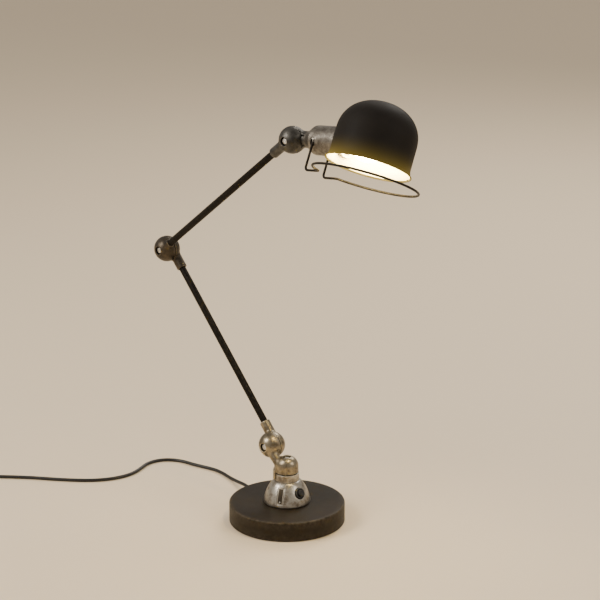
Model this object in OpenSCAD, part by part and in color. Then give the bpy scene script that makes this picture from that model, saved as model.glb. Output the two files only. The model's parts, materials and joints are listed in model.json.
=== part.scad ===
// Architect desk lamp: weighted disc base, bell pedestal with a swivelling turret, two tubular arms
// on split ball knuckles, and a domed shade with a wire guard ring. Millimetres, +Z up.
// The origin is the middle of the base's underside. The arms stand along X and the head is at +X.

/* [Base] */
// Diameter of the weighted disc
base_d = 200; // [165:1:260]
// Height of the disc's top above the table
base_h = 35; // [29:1:45]
// Thickness of the disc's outer rim
rim_wall = 10; // [8:0.5:16]
// Thickness of the disc's top
top_wall = 12; // [8:0.5:14]
// Radius on the disc's top edge
edge_r = 2.5; // [1:0.5:5]
// Diameter of the hub ring under the pedestal
hub_d = 90; // [88:1:104]
// Wall of the hub ring
hub_wall = 8; // [5:0.5:10]
// Thickness of the felt pad
felt_t = 1.5; // [1:0.1:3]
// Thickness of the steel cover under the disc
cover_t = 1.5; // [1:0.1:2.5]
// Gap between the disc's rim and the table
rim_lift = 1; // [0.5:0.1:1.5]

/* [Pedestal] */
// Radius of the bell's foot
bell_r = 41; // [36:0.5:46]
// Radius of the bell's neck
neck_r = 21; // [20:0.5:24]
// Height of the bell's shoulder above the disc
bell_h = 40; // [36:0.5:50]
// Height of the straight neck
neck_h = 13; // [11:0.5:18]
// Fullness of the bell's curve
bell_power = 1.45; // [1.2:0.05:2]
// Wall of the bell
bell_wall = 4; // [3:0.5:5]
// Thickness of the web under the turret
web_t = 5; // [4:0.5:7]
// Radius of the ring that the pedestal screws stand on
foot_screw_ring = 32; // [30.5:0.5:32.5]
// Diameter of the pedestal screws
foot_screw_d = 5; // [4:0.5:6]

/* [Switch] */
// Angle of the switch around the pedestal
switch_angle = -4; // [-40:1:20]
// Height of the switch above the disc
switch_h = 23.5; // [14:0.5:25]
// Lean of the switch above level
switch_lean = 25; // [10:1:30]
// Diameter of the bezel
bezel_d = 19; // [16:0.5:20]
// Diameter of the button
button_d = 10.8; // [8:0.2:11]
// Travel of the button
button_travel = 2.5; // [1.5:0.1:3]

/* [Plate] */
// Angle of the plate around the pedestal
plate_angle = -64; // [-80:1:-55]
// Width of the blank plate
plate_w = 10.5; // [6:0.5:12]
// Length of the blank plate
plate_l = 28; // [20:0.5:29]
// Thickness of the blank plate
plate_t = 1; // [0.6:0.1:1.2]

/* [Turret] */
// Radius of the turret's cap
cap_r = 20; // [19:0.5:23]
// Height of the cap's straight side
cap_h = 10; // [8:0.5:14]
// Height of the cap's dome
dome_h = 18; // [15:0.5:20]
// Groove between the neck and the turret
groove = 1.5; // [1:0.1:2]
// Radius of the spigot that turns in the neck
spigot_r = 15.5; // [14:0.1:16.5]
// Length of the spigot
spigot_h = 12; // [10:0.5:13]
// Thickness of the skirt behind the cap
skirt_t = 2.6; // [2:0.1:4]
// Diameter of the turret bolt
turret_bolt_d = 8; // [6:0.5:9]
// Radius of the stub that carries the first ball
stub_r = 8.2; // [7:0.1:8.8]

/* [Arms] */
// Length of each arm between its pivots
arm_len = 400; // [300:1:520]
// Slope of the lower arm, counted up from +X
lower_angle = 131.4; // [95:0.1:160]
// Slope of the upper arm, counted up from +X
upper_angle = 37.8; // [20:0.1:60]
// Distance of the first pivot behind the turret's axis
shoulder_back = 36.8; // [34:0.1:45]
// Height of the first pivot above the pedestal's neck
shoulder_up = 40.5; // [37:0.1:52]
// Diameter of the tubes
tube_d = 12; // [10:0.5:13]
// Wall of the tubes
tube_wall = 1; // [0.8:0.1:1.5]
// Wall of the sleeves around the tubes
sleeve_wall = 3; // [2:0.1:3.4]
// Reach of the sleeves from the ball's centre
sleeve_reach = 43; // [36:0.5:50]
// Reach of the short collar from the ball's centre
collar_reach = 27; // [26:0.5:32]
// Diameter of the wires in the tubes
wire_d = 2; // [1.5:0.1:2.4]

/* [Knuckles] */
// Diameter of the balls
ball_d = 46; // [44:0.5:52]
// Wall of the balls
ball_wall = 4; // [3:0.1:4.5]
// Sideways distance of the tubes from the split
tube_offset = 10; // [9.6:0.1:11]
// Gap between the two halves of a ball
split_gap = 0.3; // [0.2:0.05:0.5]
// Radius of the recess around each screw
recess_r = 7.2; // [6.5:0.1:8]
// Distance of the recess's floor from the split
recess_floor = 14.5; // [13:0.1:15.5]
// Diameter of the knuckle screws
screw_d = 5; // [4:0.5:5.5]
// Thickness of the insulating discs
disc_t = 3; // [2:0.1:3.2]

/* [Head] */
// Slope of the lamp holder above level
head_pitch = 5.9; // [-20:0.1:30]
// Turn of the head around the lamp holder
head_roll = 28.4; // [0:0.1:45]
// Sideways distance of the lamp holder from the split
head_offset = 10.5; // [9.6:0.1:11]
// Radius of the neck
neck_out_r = 13.8; // [12:0.1:15]
// Distance of the seam between neck and holder from the ball's centre
seam_at = 28; // [27:0.5:31]
// Radius of the lamp holder
holder_r = 24.5; // [23.5:0.1:27]
// Distance where the holder reaches its full radius
holder_full = 48; // [44:0.5:54]
// Wall of the lamp holder
holder_wall = 3.9; // [3:0.1:4.2]
// Radius of the shaft that the head turns on
twist_shaft_r = 8; // [7:0.1:9]

/* [Shade] */
// Radius of the shade's body
shade_r = 66; // [60:0.5:76]
// Flare of the shade's rim
flare = 4; // [2:0.5:8]
// Height of the flare
flare_h = 15; // [8:0.5:18]
// Height where the dome starts, above the rim
dome_from = 50; // [48:0.5:60]
// Height of the shade's dome
shade_dome = 58; // [48:0.5:70]
// Fullness of the dome
shade_power = 2.15; // [1.8:0.05:2.6]
// Thickness of the shade
shade_t = 1.2; // [0.8:0.1:1.6]
// Distance of the shade's axis from the ball's centre
shade_at = 173.5; // [165:0.5:190]
// Height of the holder's axis above the rim
rim_drop = 39.9; // [36:0.1:46]

/* [Guard] */
// Radius of the guard ring
guard_r = 86.7; // [80:0.1:100]
// Diameter of the guard's wire
guard_wire_d = 4; // [3:0.1:4.4]
// Depth of the ring below the holder's axis
guard_drop = 59.8; // [56:0.1:70]
// Forward shift of the ring from the shade's axis
guard_shift = 2; // [0:0.1:6]
// Forward lean of the ring
guard_lean = 2.3; // [0:0.1:4]
// Sideways lean of the ring
guard_side_lean = 2.3; // [0:0.1:4]
// Distance of the guard's legs from the ball's centre
leg_at = 60.2; // [56:0.1:66]
// Sideways distance of the legs from the holder's axis
leg_side = 21.7; // [21:0.1:22.4]

/* [Lamp] */
// Radius of the bulb
bulb_r = 30; // [24:0.5:34]
// Distance of the bulb's centre from the ball's centre
bulb_at = 162; // [158:0.5:170]
// Radius of the bulb's cap
bulb_cap_r = 13.2; // [13:0.05:13.3]
// Radius of the socket's barrel
socket_r = 20; // [19:0.1:20.2]
// Reach of the socket from the ball's centre
socket_reach = 124; // [122:0.5:128]

/* [Cord] */
// Diameter of the cord
cord_d = 6; // [5:0.5:7]
// Angle where the cord leaves the base
cord_angle = 164.5; // [160:0.5:170]
// Height of the cord's exit above the table
cord_exit_h = 10; // [9:0.5:12]
// Length of the tapered strain relief
relief_len = 30; // [20:1:60]

/* [Fits] */
// Radial clearance of a turning or sliding shaft
run_gap = 0.05; // [0.02:0.01:0.1]
// Radial clearance of a piece that is pushed or screwed in
seat_gap = 0.05; // [0.02:0.01:0.2]
// Gap between pieces that pass each other
pass_gap = 0.4; // [0.3:0.05:0.6]
// Gap between a spring pin and its ring
contact_gap = 0.2; // [0.1:0.05:0.4]

/* [Hidden] */

$fn = 64;
big = 400;
eps = 0.01;

// base
base_r = base_d / 2;
cover_top = felt_t + cover_t;
cover_r = base_r - rim_wall / 2;
pocket_top = base_h - top_wall;
hub_r = hub_d / 2;
hub_in = hub_r - hub_wall;
lead_hole_r = 19;
felt_r = cover_r - 2;

// pedestal
neck_top = base_h + bell_h + neck_h;
web_top = neck_top - spigot_h - groove - 1;
foot_angles = [60, 180, 300];
boss_r = foot_screw_d / 2 + 3;
boss_h = 11;
boss_lift = 0.5;
bell_steps = 14;
foot_round = 2;

// switch and plate
spot = 1.5;
switch_neck_r = button_d / 2 + 1;
housing_r = 8;
housing_back = 25;
bezel_h = 3.2;
button_proud = 3.6;
switch_in = bell_at(switch_h) - (housing_back + spot) * cos(switch_lean);
switch_back = [
    switch_in * cos(switch_angle), switch_in * sin(switch_angle),
    base_h + switch_h - (housing_back + spot) * sin(switch_lean)
];
plate_h = 21;
plate_sink = 1.6;
rivet_h = plate_h - 9.5;
rivet_lean = atan(bell_at(rivet_h - 0.5) - bell_at(rivet_h + 0.5));
rivet_gap = 0.1;

// turret
cap_floor = neck_top + groove;
cap_shoulder = cap_floor + cap_h;
cap_top = cap_shoulder + dome_h;
cap_wall = 4;
spigot_bottom = neck_top - spigot_h;
bolt_seat = cap_top - 9;
bolt_recess_r = turret_bolt_d / 2 + 3;
bolt_head_h = 5;
skirt_half = 70;
skirt_foot = base_h + bell_h + 1.5;
skirt_in = neck_r + pass_gap;
stub_slope = -41.6;
stub_len = 28;
turret_washer_t = 1.5;
turret_nut_h = 6.5;
bolt_low = web_top - web_t - turret_washer_t - turret_nut_h;
turret_ring_radii = [7.2, 11];
turret_ring_w = 1.6;
turret_disc_t = 1.6;

// knuckles and arms
ball_r = ball_d / 2;
ball_in = ball_r - ball_wall;
tube_r = tube_d / 2;
tube_start = ball_r - 2;
sleeve_r = tube_r + sleeve_wall;
screw_r = screw_d / 2;
disc_r = ball_in;
ledge = 5;
boss_in = 9;
ball_boss_r = recess_r + 2;
boss_out = sqrt(pow(ball_r, 2) - pow(ball_boss_r, 2)) - 0.5;
wire_bore_from = ball_boss_r + 1;
ring_radii = [7.5, 12.5];
ring_w = 2;
ring_t = 0.5;
turret_ring_top = web_top + turret_disc_t + ring_t;
pin_r = 0.9;
washer_t = 1.2;
nut_h = 3.6;
screw_head_h = 5;
screw_head_r = screw_r + 2.3;
shoulder = [-shoulder_back, 0, neck_top + shoulder_up];
elbow = shoulder + arm_len * [cos(lower_angle), 0, sin(lower_angle)];
wrist = elbow + arm_len * [cos(upper_angle), 0, sin(upper_angle)];

// head
bore_back = seam_at + pass_gap;
retainer_t = 3;
cavity_from = seam_at + 17;
shaft_end = cavity_from + pass_gap + retainer_t;
socket_back = shaft_end + 4;
saddle_gap = 0.1;
lock_in = shade_at - sqrt(pow(shade_r - shade_t, 2) - pow(socket_r + 5, 2)) + 0.6;
lock_t = 4;
cap_from = socket_back + 24;
glass_from = socket_reach - 8;
bulb_wall = 1;
leg_top = -5;
guard_wire_r = guard_wire_d / 2;
guard_knob_r = guard_wire_r + 0.15;
guard_mid = shade_at + guard_shift;
guard_open = asin(leg_side / guard_r);

// cord: the points that the cord follows, chosen along the table
cord_r = cord_d / 2;
relief_out = base_r + relief_len;
relief_tip = [relief_out * cos(cord_angle), relief_out * sin(cord_angle), cord_exit_h];
cord_points = [
    [-152, 42, 9.2], [-178, 49, 6], [-204, 56, 3.5], [-228, 62, 3.1], [-248, 64, 3.1], [-266, 62, 3.1],
    [-284, 58, 3.1], [-304, 54, 3.1], [-324, 51, 3.1], [-342, 44, 3.1], [-356, 32, 3.1], [-364, 15, 3.1],
    [-364, -5, 3.1], [-357, -24, 3.1], [-350, -43, 3.1], [-347, -64, 3.1], [-350, -86, 3.1],
    [-359, -108, 3.1], [-373, -128, 3.1], [-391, -146, 3.1], [-412, -163, 3.1], [-434, -179, 3.1],
    [-457, -195, 3.1], [-480, -213, 3.1], [-502, -232, 3.1], [-521, -249, 3.3],
    [-539, -265.6, 3.7], [-555, -280, 4]
];
coil_mid = [-527.2, -310.8];
coil_in_r = 22.9;
coil_out_r = 44.7;
coil_low = 0.9;
coil_high = 13.2;
tail_points = [
    [-568.7, -310.8, 10.1], [-571, -326, 9.4], [-571, -341, 7.6], [-566, -355, 6.2], [-555, -365, 6.5],
    [-541, -369.5, 8.2], [-529, -370, 9]
];
tie_angle = 20;
tie_slack = 0.6;
tie_w = 9;
tie_t = 0.8;
plug_yaw = 0;
plug_r = 9;
plug_len = 40;
cord_sides = 10;

// Outlines

// Radius of the bell at height z above its foot, for a bell drawn in by inset
function bell_at(z, inset = 0) =
    neck_r - inset + (bell_r - neck_r) * pow(1 - pow(min(z / bell_h, 1), bell_power), 1 / bell_power);

// Outline of the bell from its foot to its shoulder
function bell_side(inset, low) = [
    for (i = [0 : bell_steps]) let (z = low + (bell_h - low) * sin(90 * i / bell_steps)) [bell_at(z, inset), z]
];

// Outline of the shade from its rim to its apex, for a skin drawn in by inset
function shade_side(inset) = concat(
    [for (i = [0 : 6]) let (t = i / 6) [shade_r - inset + flare * pow(1 - t, 2), flare_h * t]],
    [for (i = [0 : 15]) let (a = 90 * i / 16)
        [(shade_r - inset) * pow(cos(a), 2 / shade_power),
         dome_from + (shade_dome - inset) * pow(sin(a), 2 / shade_power)]],
    [[0, dome_from + shade_dome - inset]]
);

// Shapes that repeat

// Round bar between two points
module rod(a, b, r) {
    d = b - a;
    translate(a) rotate([0, acos(d[2] / norm(d)), atan2(d[1], d[0])]) cylinder(r = r, h = norm(d));
}

// Ring with a square section, standing on z = 0
module collar(r_out, r_in, h) {
    difference() {
        cylinder(r = r_out, h = h);
        translate([0, 0, -1]) cylinder(r = r_in, h = h + 2);
    }
}

// Hexagon nut across flats, standing on z = 0
module hex_nut(flats, r_in, h) {
    difference() {
        cylinder(r = flats / sqrt(3), h = h, $fn = 6);
        translate([0, 0, -1]) cylinder(r = r_in, h = h + 2);
    }
}

// Children laid along an arm: local X runs along the slope
module along(p, slope) {
    translate(p) rotate([0, -slope, 0]) children();
}

// Children turned so that local Z points to -Y (side -1) or +Y (side 1)
module sideways(side) {
    rotate([-90 * side, 0, 0]) children();
}

// The space on one side of a ball's split
module beside(side) {
    translate([-big / 2, side > 0 ? split_gap / 2 : -big - split_gap / 2, -big / 2]) cube(big);
}

// Half of a ball knuckle with its recess, disc pocket and screw bore; children grow out of it
module half_ball(side) {
    difference() {
        union() {
            difference() {
                union() {
                    intersection() {
                        sphere(r = ball_r);
                        beside(side);
                    }
                    children();
                }
                sphere(r = ball_in);
                sideways(side) translate([0, 0, -1]) cylinder(r = disc_r + seat_gap, h = ledge + 1);
            }
            sideways(side) translate([0, 0, boss_in]) cylinder(r = ball_boss_r, h = boss_out - boss_in);
        }
        sideways(side) translate([0, 0, recess_floor]) cylinder(r = recess_r, h = ball_r);
        sideways(side) cylinder(r = screw_r + run_gap, h = ball_r);
    }
}

// Sleeve for a tube, beside the split, bored for the tube and its wires
module sleeve(side, r, reach) {
    translate([ball_in - 6, side * tube_offset, 0]) rotate([0, 90, 0]) cylinder(r = r, h = reach - ball_in + 6);
}

// What is bored out of a sleeve
module sleeve_bore(side, reach) {
    translate([tube_start, side * tube_offset, 0]) rotate([0, 90, 0])
        cylinder(r = tube_r + seat_gap, h = reach);
    translate([wire_bore_from, side * tube_offset, 0]) rotate([0, 90, 0])
        cylinder(r = tube_r - tube_wall - 1, h = reach);
}

// Tube between two knuckles, in the lower knuckle's frame
module arm_tube(side) {
    translate([tube_start, side * tube_offset, 0]) rotate([0, 90, 0])
        collar(tube_r, tube_r - tube_wall, arm_len - 2 * tube_start);
}

// The two wires in a tube
module arm_wires(side) {
    for (s = [-1, 1])
        translate([tube_start, side * tube_offset, s * (wire_d / 2 + 0.3)]) rotate([0, 90, 0])
            cylinder(r = wire_d / 2, h = arm_len - 2 * tube_start);
}

// Insulating disc that carries the brass rings, on the +Y side
module ring_disc() {
    sideways(1) translate([0, 0, ledge - disc_t]) collar(disc_r, screw_r + 1, disc_t);
}

module contact_rings() {
    for (r = ring_radii)
        sideways(1) translate([0, 0, ledge - disc_t - ring_t]) collar(r + ring_w / 2, r - ring_w / 2, ring_t);
}

// Insulating disc that carries the spring pins, on the -Y side
module pin_disc() {
    difference() {
        sideways(-1) translate([0, 0, ledge - disc_t]) collar(disc_r, screw_r + 1, disc_t);
        contact_pins(seat_gap);
    }
}

module contact_pins(grow = 0) {
    for (i = [0, 1])
        rotate([0, 180 * i + 45, 0]) translate([ring_radii[i], 0, 0])
            sideways(1) translate([0, 0, -ledge - 1.5]) cylinder(
                r = pin_r + grow, h = 2 * ledge + 1.5 - disc_t - ring_t - contact_gap, $fn = 24);
}

module knuckle_screw() {
    sideways(-1) translate([0, 0, recess_floor]) difference() {
        cylinder(r = screw_head_r, h = screw_head_h);
        translate([-big / 2, -0.5, screw_head_h - 1.2]) cube([big, 1, 2]);
    }
    sideways(1) translate([0, 0, -recess_floor]) cylinder(r = screw_r, h = 2 * recess_floor + washer_t + nut_h);
}

module knuckle_washer() {
    sideways(1) translate([0, 0, recess_floor]) collar(screw_r + 2.2, screw_r + seat_gap, washer_t);
}

module knuckle_nut() {
    sideways(1) translate([0, 0, recess_floor + washer_t]) hex_nut(screw_d + 3, screw_r + seat_gap, nut_h);
}

// Base

module base_disc() {
    color("#2b241e") difference() {
        rotate_extrude($fn = 128) polygon(concat(
            [[0, rim_lift], [base_r - 1, rim_lift], [base_r, rim_lift + 1]],
            [for (a = [0 : 15 : 90]) [base_r - edge_r + edge_r * cos(a), base_h - edge_r + edge_r * sin(a)]],
            [[0, base_h]]));
        translate([0, 0, -1]) cylinder(r = cover_r + seat_gap, h = cover_top + 1);
        translate([0, 0, cover_top - eps]) collar(base_r - rim_wall, hub_r, pocket_top - cover_top);
        translate([0, 0, cover_top - eps]) cylinder(r = hub_in, h = pocket_top - cover_top);
        cylinder(r = lead_hole_r, h = base_h + 1);
        for (a = foot_angles)
            rotate(a) translate([foot_screw_ring, 0, 0]) cylinder(r = foot_screw_d / 2 + seat_gap, h = base_h + 1);
        rotate(cord_angle) translate([0, 0, cord_exit_h]) rotate([0, 90, 0])
            cylinder(r = cord_r + 1, h = base_r + 1);
    }
}

module base_cover() {
    color("#6a6a68") translate([0, 0, felt_t]) cylinder(r = cover_r, h = cover_t, $fn = 128);
}

module base_felt() {
    color("#3b3f3a") cylinder(r = felt_r, h = felt_t, $fn = 128);
}

// Lead from the strain relief into the hub, and its stripped wires up to the switch
module base_lead() {
    start = (base_r - rim_wall) * [cos(cord_angle), sin(cord_angle), 0] + [0, 0, cord_exit_h];
    color("black") {
        rod(start, [0, 0, cord_exit_h], cord_r - 0.5);
        rod([-2, 0, cord_exit_h], switch_back, 1.4);
    }
}

module pedestal_screws() {
    color("silver") for (a = foot_angles)
        rotate(a) translate([foot_screw_ring, 0, 0]) {
            translate([0, 0, pocket_top - 4]) cylinder(r = foot_screw_d / 2 + 1.8, h = 4);
            translate([0, 0, pocket_top - eps]) cylinder(r = foot_screw_d / 2, h = top_wall + boss_h - 3);
        }
}

// Pedestal

module pedestal() {
    color("#a39883") difference() {
        union() {
            difference() {
                translate([0, 0, base_h]) rotate_extrude($fn = 96) polygon(concat(
                    [[0, 0], [bell_at(0) - foot_round, 0]], bell_side(0, foot_round),
                    [[neck_r, bell_h + neck_h], [0, bell_h + neck_h]]));
                translate([0, 0, base_h]) rotate_extrude($fn = 96) polygon(concat(
                    [[0, -eps], [bell_at(0, bell_wall), -eps]],
                    [for (p = bell_side(bell_wall, eps)) if (p[1] < web_top - web_t - base_h) p],
                    [[bell_at(web_top - web_t - base_h, bell_wall), web_top - web_t - base_h],
                     [0, web_top - web_t - base_h]]));
            }
            for (a = foot_angles)
                rotate(a) translate([foot_screw_ring, 0, base_h + boss_lift])
                    cylinder(r = boss_r, h = boss_h - boss_lift);
        }
        translate([0, 0, web_top]) cylinder(r = spigot_r + run_gap, h = big);
        cylinder(r = turret_bolt_d / 2 + run_gap, h = big);
        for (a = foot_angles)
            rotate(a) translate([foot_screw_ring, 0, base_h - 1])
                cylinder(r = foot_screw_d / 2 + seat_gap, h = boss_h - 1);
        on_bell(switch_angle, switch_h, switch_lean) {
            translate([0, 0, -15]) cylinder(r = switch_neck_r + seat_gap, h = 30);
            translate([0, 0, -spot]) cylinder(r = bezel_d / 2 + 0.5, h = 10);
        }
        plate_slice(1, plate_sink, -1);
    }
}

// Switch and plate

// Children on the bell: local Z points out of its flank and local X points up it
module on_bell(angle, h, lean) {
    rotate(angle) translate([bell_at(h), 0, base_h + h]) rotate([0, 90 - lean, 0]) rotate(180) children();
}

module switch_housing() {
    color("#1d1c1b") on_bell(switch_angle, switch_h, switch_lean) difference() {
        union() {
            translate([0, 0, -spot - housing_back]) cylinder(r = housing_r, h = housing_back - 5.2);
            translate([0, 0, -spot - 6]) cylinder(r = switch_neck_r, h = 6 + 2.6);
        }
        translate([0, 0, -spot - 7.5 - button_travel]) cylinder(r = button_d / 2 + run_gap, h = 20);
    }
}

module switch_bezel() {
    color("#161514") on_bell(switch_angle, switch_h, switch_lean) translate([0, 0, -spot]) difference() {
        union() {
            cylinder(r = bezel_d / 2, h = bezel_h - 1);
            translate([0, 0, bezel_h - 1]) cylinder(r1 = bezel_d / 2, r2 = bezel_d / 2 - 1, h = 1);
        }
        translate([0, 0, -1]) cylinder(r = switch_neck_r + seat_gap, h = bezel_h + 2);
    }
}

module switch_button() {
    color("black") on_bell(switch_angle, switch_h, switch_lean) {
        translate([0, 0, -spot - 7]) cylinder(r = button_d / 2, h = spot + 7 + button_proud);
        translate([0, 0, button_proud]) cylinder(r1 = button_d / 2, r2 = button_d / 2 - 1, h = 1);
    }
}

// Part of the bell's flank between two depths, under a plate grown by a margin
module plate_slice(margin, deep, shallow) {
    outer = bell_side(shallow, foot_round);
    inner = bell_side(deep, foot_round);
    intersection() {
        translate([0, 0, base_h]) rotate_extrude($fn = 96)
            polygon(concat(outer, [for (i = [len(inner) - 1 : -1 : 0]) inner[i]]));
        on_bell(plate_angle, plate_h, switch_lean)
            cube([plate_l + margin, plate_w + margin, 2 * bell_wall], center = true);
    }
}

module name_plate() {
    color("#4a4238") plate_slice(0, plate_sink, plate_sink - plate_t);
}

module plate_rivet() {
    color("silver") on_bell(plate_angle, rivet_h, rivet_lean)
        translate([0, 0, plate_t - plate_sink + rivet_gap]) cylinder(r = 1.3, h = 0.7, $fn = 24);
}

// Turret

module turret_casting() {
    color("#a99c82") difference() {
        union() {
            translate([0, 0, cap_floor]) rotate_extrude($fn = 96) polygon(concat(
                [[0, 0], [cap_r, 0]],
                [for (a = [0 : 10 : 80]) [cap_r * pow(cos(a), 0.85), cap_h + dome_h * sin(a)]],
                [[0, cap_h + dome_h]]));
            translate([0, 0, spigot_bottom]) cylinder(r = spigot_r, h = spigot_h + groove + 1);
            rotate(180 - skirt_half) rotate_extrude(angle = 2 * skirt_half, $fn = 96) polygon([
                [skirt_in, skirt_foot], [skirt_in + skirt_t, skirt_foot + 1], [skirt_in + skirt_t, cap_floor + 4],
                [cap_r - 1, cap_shoulder + 6], [cap_r - 3, cap_shoulder + 6], [cap_r - 3, cap_floor + eps],
                [skirt_in, cap_floor + eps]]);
            translate(shoulder) half_ball(-1) along([0, 0, 0], stub_slope)
                translate([ball_in - 6, -tube_offset, 0]) rotate([0, 90, 0]) cylinder(r = stub_r, h = stub_len);
        }
        translate([0, 0, spigot_bottom - 1]) cylinder(r = spigot_r - 3, h = bolt_seat - cap_wall - spigot_bottom + 1);
        translate([0, 0, bolt_seat]) cylinder(r = bolt_recess_r, h = 20);
        cylinder(r = turret_bolt_d / 2 + seat_gap, h = big);
        along(shoulder, stub_slope) translate([wire_bore_from, -tube_offset, 0])
            rotate([0, 90, 0]) cylinder(r = 3, h = stub_len + 10);
    }
}

module turret_bolt() {
    color("silver") {
        translate([0, 0, bolt_seat]) difference() {
            cylinder(r = turret_bolt_d / 2 + 2.2, h = bolt_head_h);
            translate([0, 0, bolt_head_h - 2.5]) cylinder(r = 3, h = 4, $fn = 6);
        }
        translate([0, 0, bolt_low]) cylinder(r = turret_bolt_d / 2, h = bolt_seat - bolt_low + eps);
    }
}

module turret_washer() {
    color("gray") translate([0, 0, web_top - web_t - turret_washer_t])
        collar(turret_bolt_d / 2 + 4, turret_bolt_d / 2 + seat_gap, turret_washer_t);
}

module turret_nut() {
    color("silver") translate([0, 0, bolt_low])
        hex_nut(turret_bolt_d + 5, turret_bolt_d / 2 + seat_gap, turret_nut_h);
}

// Insulating disc on the pedestal's web, with its two brass rings on top
module turret_ring_disc() {
    color("#5a3d24") translate([0, 0, web_top]) collar(spigot_r - 2, turret_bolt_d / 2 + 1, turret_disc_t);
}

module turret_rings() {
    color("gold") for (r = turret_ring_radii)
        translate([0, 0, web_top + turret_disc_t]) collar(r + turret_ring_w / 2, r - turret_ring_w / 2, ring_t);
}

module turret_pins(grow = 0) {
    color("gold") for (i = [0, 1])
        rotate(180 * i + 90) translate([turret_ring_radii[i], 0, turret_ring_top + contact_gap])
            cylinder(r = 0.6 + grow, h = 8, $fn = 24);
}

module turret_pin_disc() {
    color("#5a3d24") difference() {
        translate([0, 0, turret_ring_top + 3]) collar(spigot_r - 3 - seat_gap, turret_bolt_d / 2 + 1, 3);
        turret_pins(seat_gap);
    }
}

module shoulder_screw() { color("silver") translate(shoulder) knuckle_screw(); }
module shoulder_nut() { color("silver") translate(shoulder) knuckle_nut(); }
module shoulder_washer() { color("gray") translate(shoulder) knuckle_washer(); }
module shoulder_pin_disc() { color("#5a3d24") translate(shoulder) pin_disc(); }
module shoulder_pins() { color("gold") translate(shoulder) contact_pins(); }

// Lower arm

// Half ball with a sleeve, laid along an arm
module sleeved_half(p, slope, side, r, reach) {
    difference() {
        translate(p) half_ball(side) along([0, 0, 0], slope) sleeve(side, r, reach);
        along(p, slope) sleeve_bore(side, reach);
    }
}

module shoulder_knuckle() { color("#9a8c6c") sleeved_half(shoulder, lower_angle, 1, sleeve_r, sleeve_reach); }
module elbow_socket() { color("#3c342a") sleeved_half(elbow, lower_angle + 180, 1, sleeve_r, sleeve_reach); }
module lower_tube() { color("#14120f") along(shoulder, lower_angle) arm_tube(1); }
module lower_wires() { color("#7a4a2a") along(shoulder, lower_angle) arm_wires(1); }

module lower_ring_discs() {
    color("#5a3d24") for (p = [shoulder, elbow]) translate(p) ring_disc();
}

module lower_rings() {
    color("gold") for (p = [shoulder, elbow]) translate(p) contact_rings();
}

// Upper arm

module elbow_knuckle() { color("#3c342a") sleeved_half(elbow, upper_angle, -1, tube_r + 1.6, collar_reach); }
module wrist_socket() { color("#34332f") sleeved_half(wrist, upper_angle + 180, -1, sleeve_r, sleeve_reach); }
module upper_tube() { color("#14120f") along(elbow, upper_angle) arm_tube(-1); }
module upper_wires() { color("#7a4a2a") along(elbow, upper_angle) arm_wires(-1); }
module upper_screws() { color("silver") for (p = [elbow, wrist]) translate(p) knuckle_screw(); }
module upper_nuts() { color("silver") for (p = [elbow, wrist]) translate(p) knuckle_nut(); }
module upper_washers() { color("gray") for (p = [elbow, wrist]) translate(p) knuckle_washer(); }
module upper_pin_discs() { color("#5a3d24") for (p = [elbow, wrist]) translate(p) pin_disc(); }
module upper_pins() { color("gold") for (p = [elbow, wrist]) translate(p) contact_pins(); }

// Head

// Frame of the neck: local X runs along the lamp holder
module in_neck() {
    translate(wrist + [0, head_offset, 0]) rotate([0, -head_pitch, 0]) children();
}

// Frame of the head: local Z is the shade's axis, away from its opening
module in_head() {
    in_neck() rotate([-head_roll, 0, 0]) children();
}

module wrist_neck() {
    color("#3a3935") difference() {
        union() {
            translate(wrist) half_ball(1) along([0, 0, 0], head_pitch) difference() {
                translate([ball_in - 10, head_offset, 0]) rotate([0, 90, 0])
                    cylinder(r = neck_out_r, h = seam_at - ball_in + 10);
                translate([ball_r + pass_gap - big, split_gap / 2 - big, -big / 2]) cube(big);
            }
            in_neck() translate([seam_at - 1, 0, 0]) rotate([0, 90, 0])
                cylinder(r = twist_shaft_r, h = shaft_end - seam_at + 1);
        }
        in_neck() translate([wire_bore_from, 0, 0]) rotate([0, 90, 0]) cylinder(r = 4, h = big);
    }
}

module wrist_ring_disc() { color("#5a3d24") translate(wrist) ring_disc(); }
module wrist_rings() { color("gold") translate(wrist) contact_rings(); }

module lamp_holder() {
    color("#807b72") in_head() difference() {
        rotate([0, 90, 0]) rotate_extrude($fn = 96) polygon([
            [0, bore_back], [neck_out_r + 0.6, bore_back], [neck_out_r + 1.4, bore_back + 3],
            [holder_r - 2.5, holder_full - 5], [holder_r - 0.8, holder_full - 2], [holder_r, holder_full],
            [holder_r, shade_at], [0, shade_at]]);
        translate([bore_back - 1, 0, 0]) rotate([0, 90, 0]) cylinder(r = twist_shaft_r + run_gap, h = 40);
        translate([cavity_from, 0, 0]) rotate([0, 90, 0]) cylinder(r = holder_r - holder_wall, h = big);
        translate([shade_at, 0, -big / 2]) cylinder(r = shade_r + saddle_gap, h = big, $fn = 128);
        translate([shade_at - eps, -big / 2, -big / 2]) cube(big);
        for (s = [-1, 1])
            translate([leg_at, s * leg_side, leg_top - big]) cylinder(r = guard_wire_r + seat_gap, h = big);
    }
}

// Collar on the end of the neck's shaft, which keeps the head on it
module neck_retainer() {
    color("silver") in_neck() translate([cavity_from + pass_gap, 0, 0]) rotate([0, 90, 0])
        collar(twist_shaft_r + 3, twist_shaft_r + seat_gap, retainer_t);
}

module socket_body() {
    color("#e8e2d4") in_head() difference() {
        translate([socket_back, 0, 0]) rotate([0, 90, 0]) cylinder(r = socket_r, h = socket_reach - socket_back);
        translate([cap_from, 0, 0]) rotate([0, 90, 0]) cylinder(r = bulb_cap_r + 1.4, h = big);
    }
}

module socket_shell() {
    color("gold") in_head() translate([cap_from + 3, 0, 0]) rotate([0, 90, 0])
        collar(bulb_cap_r + 1.3, bulb_cap_r + 0.2, 22);
}

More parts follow.
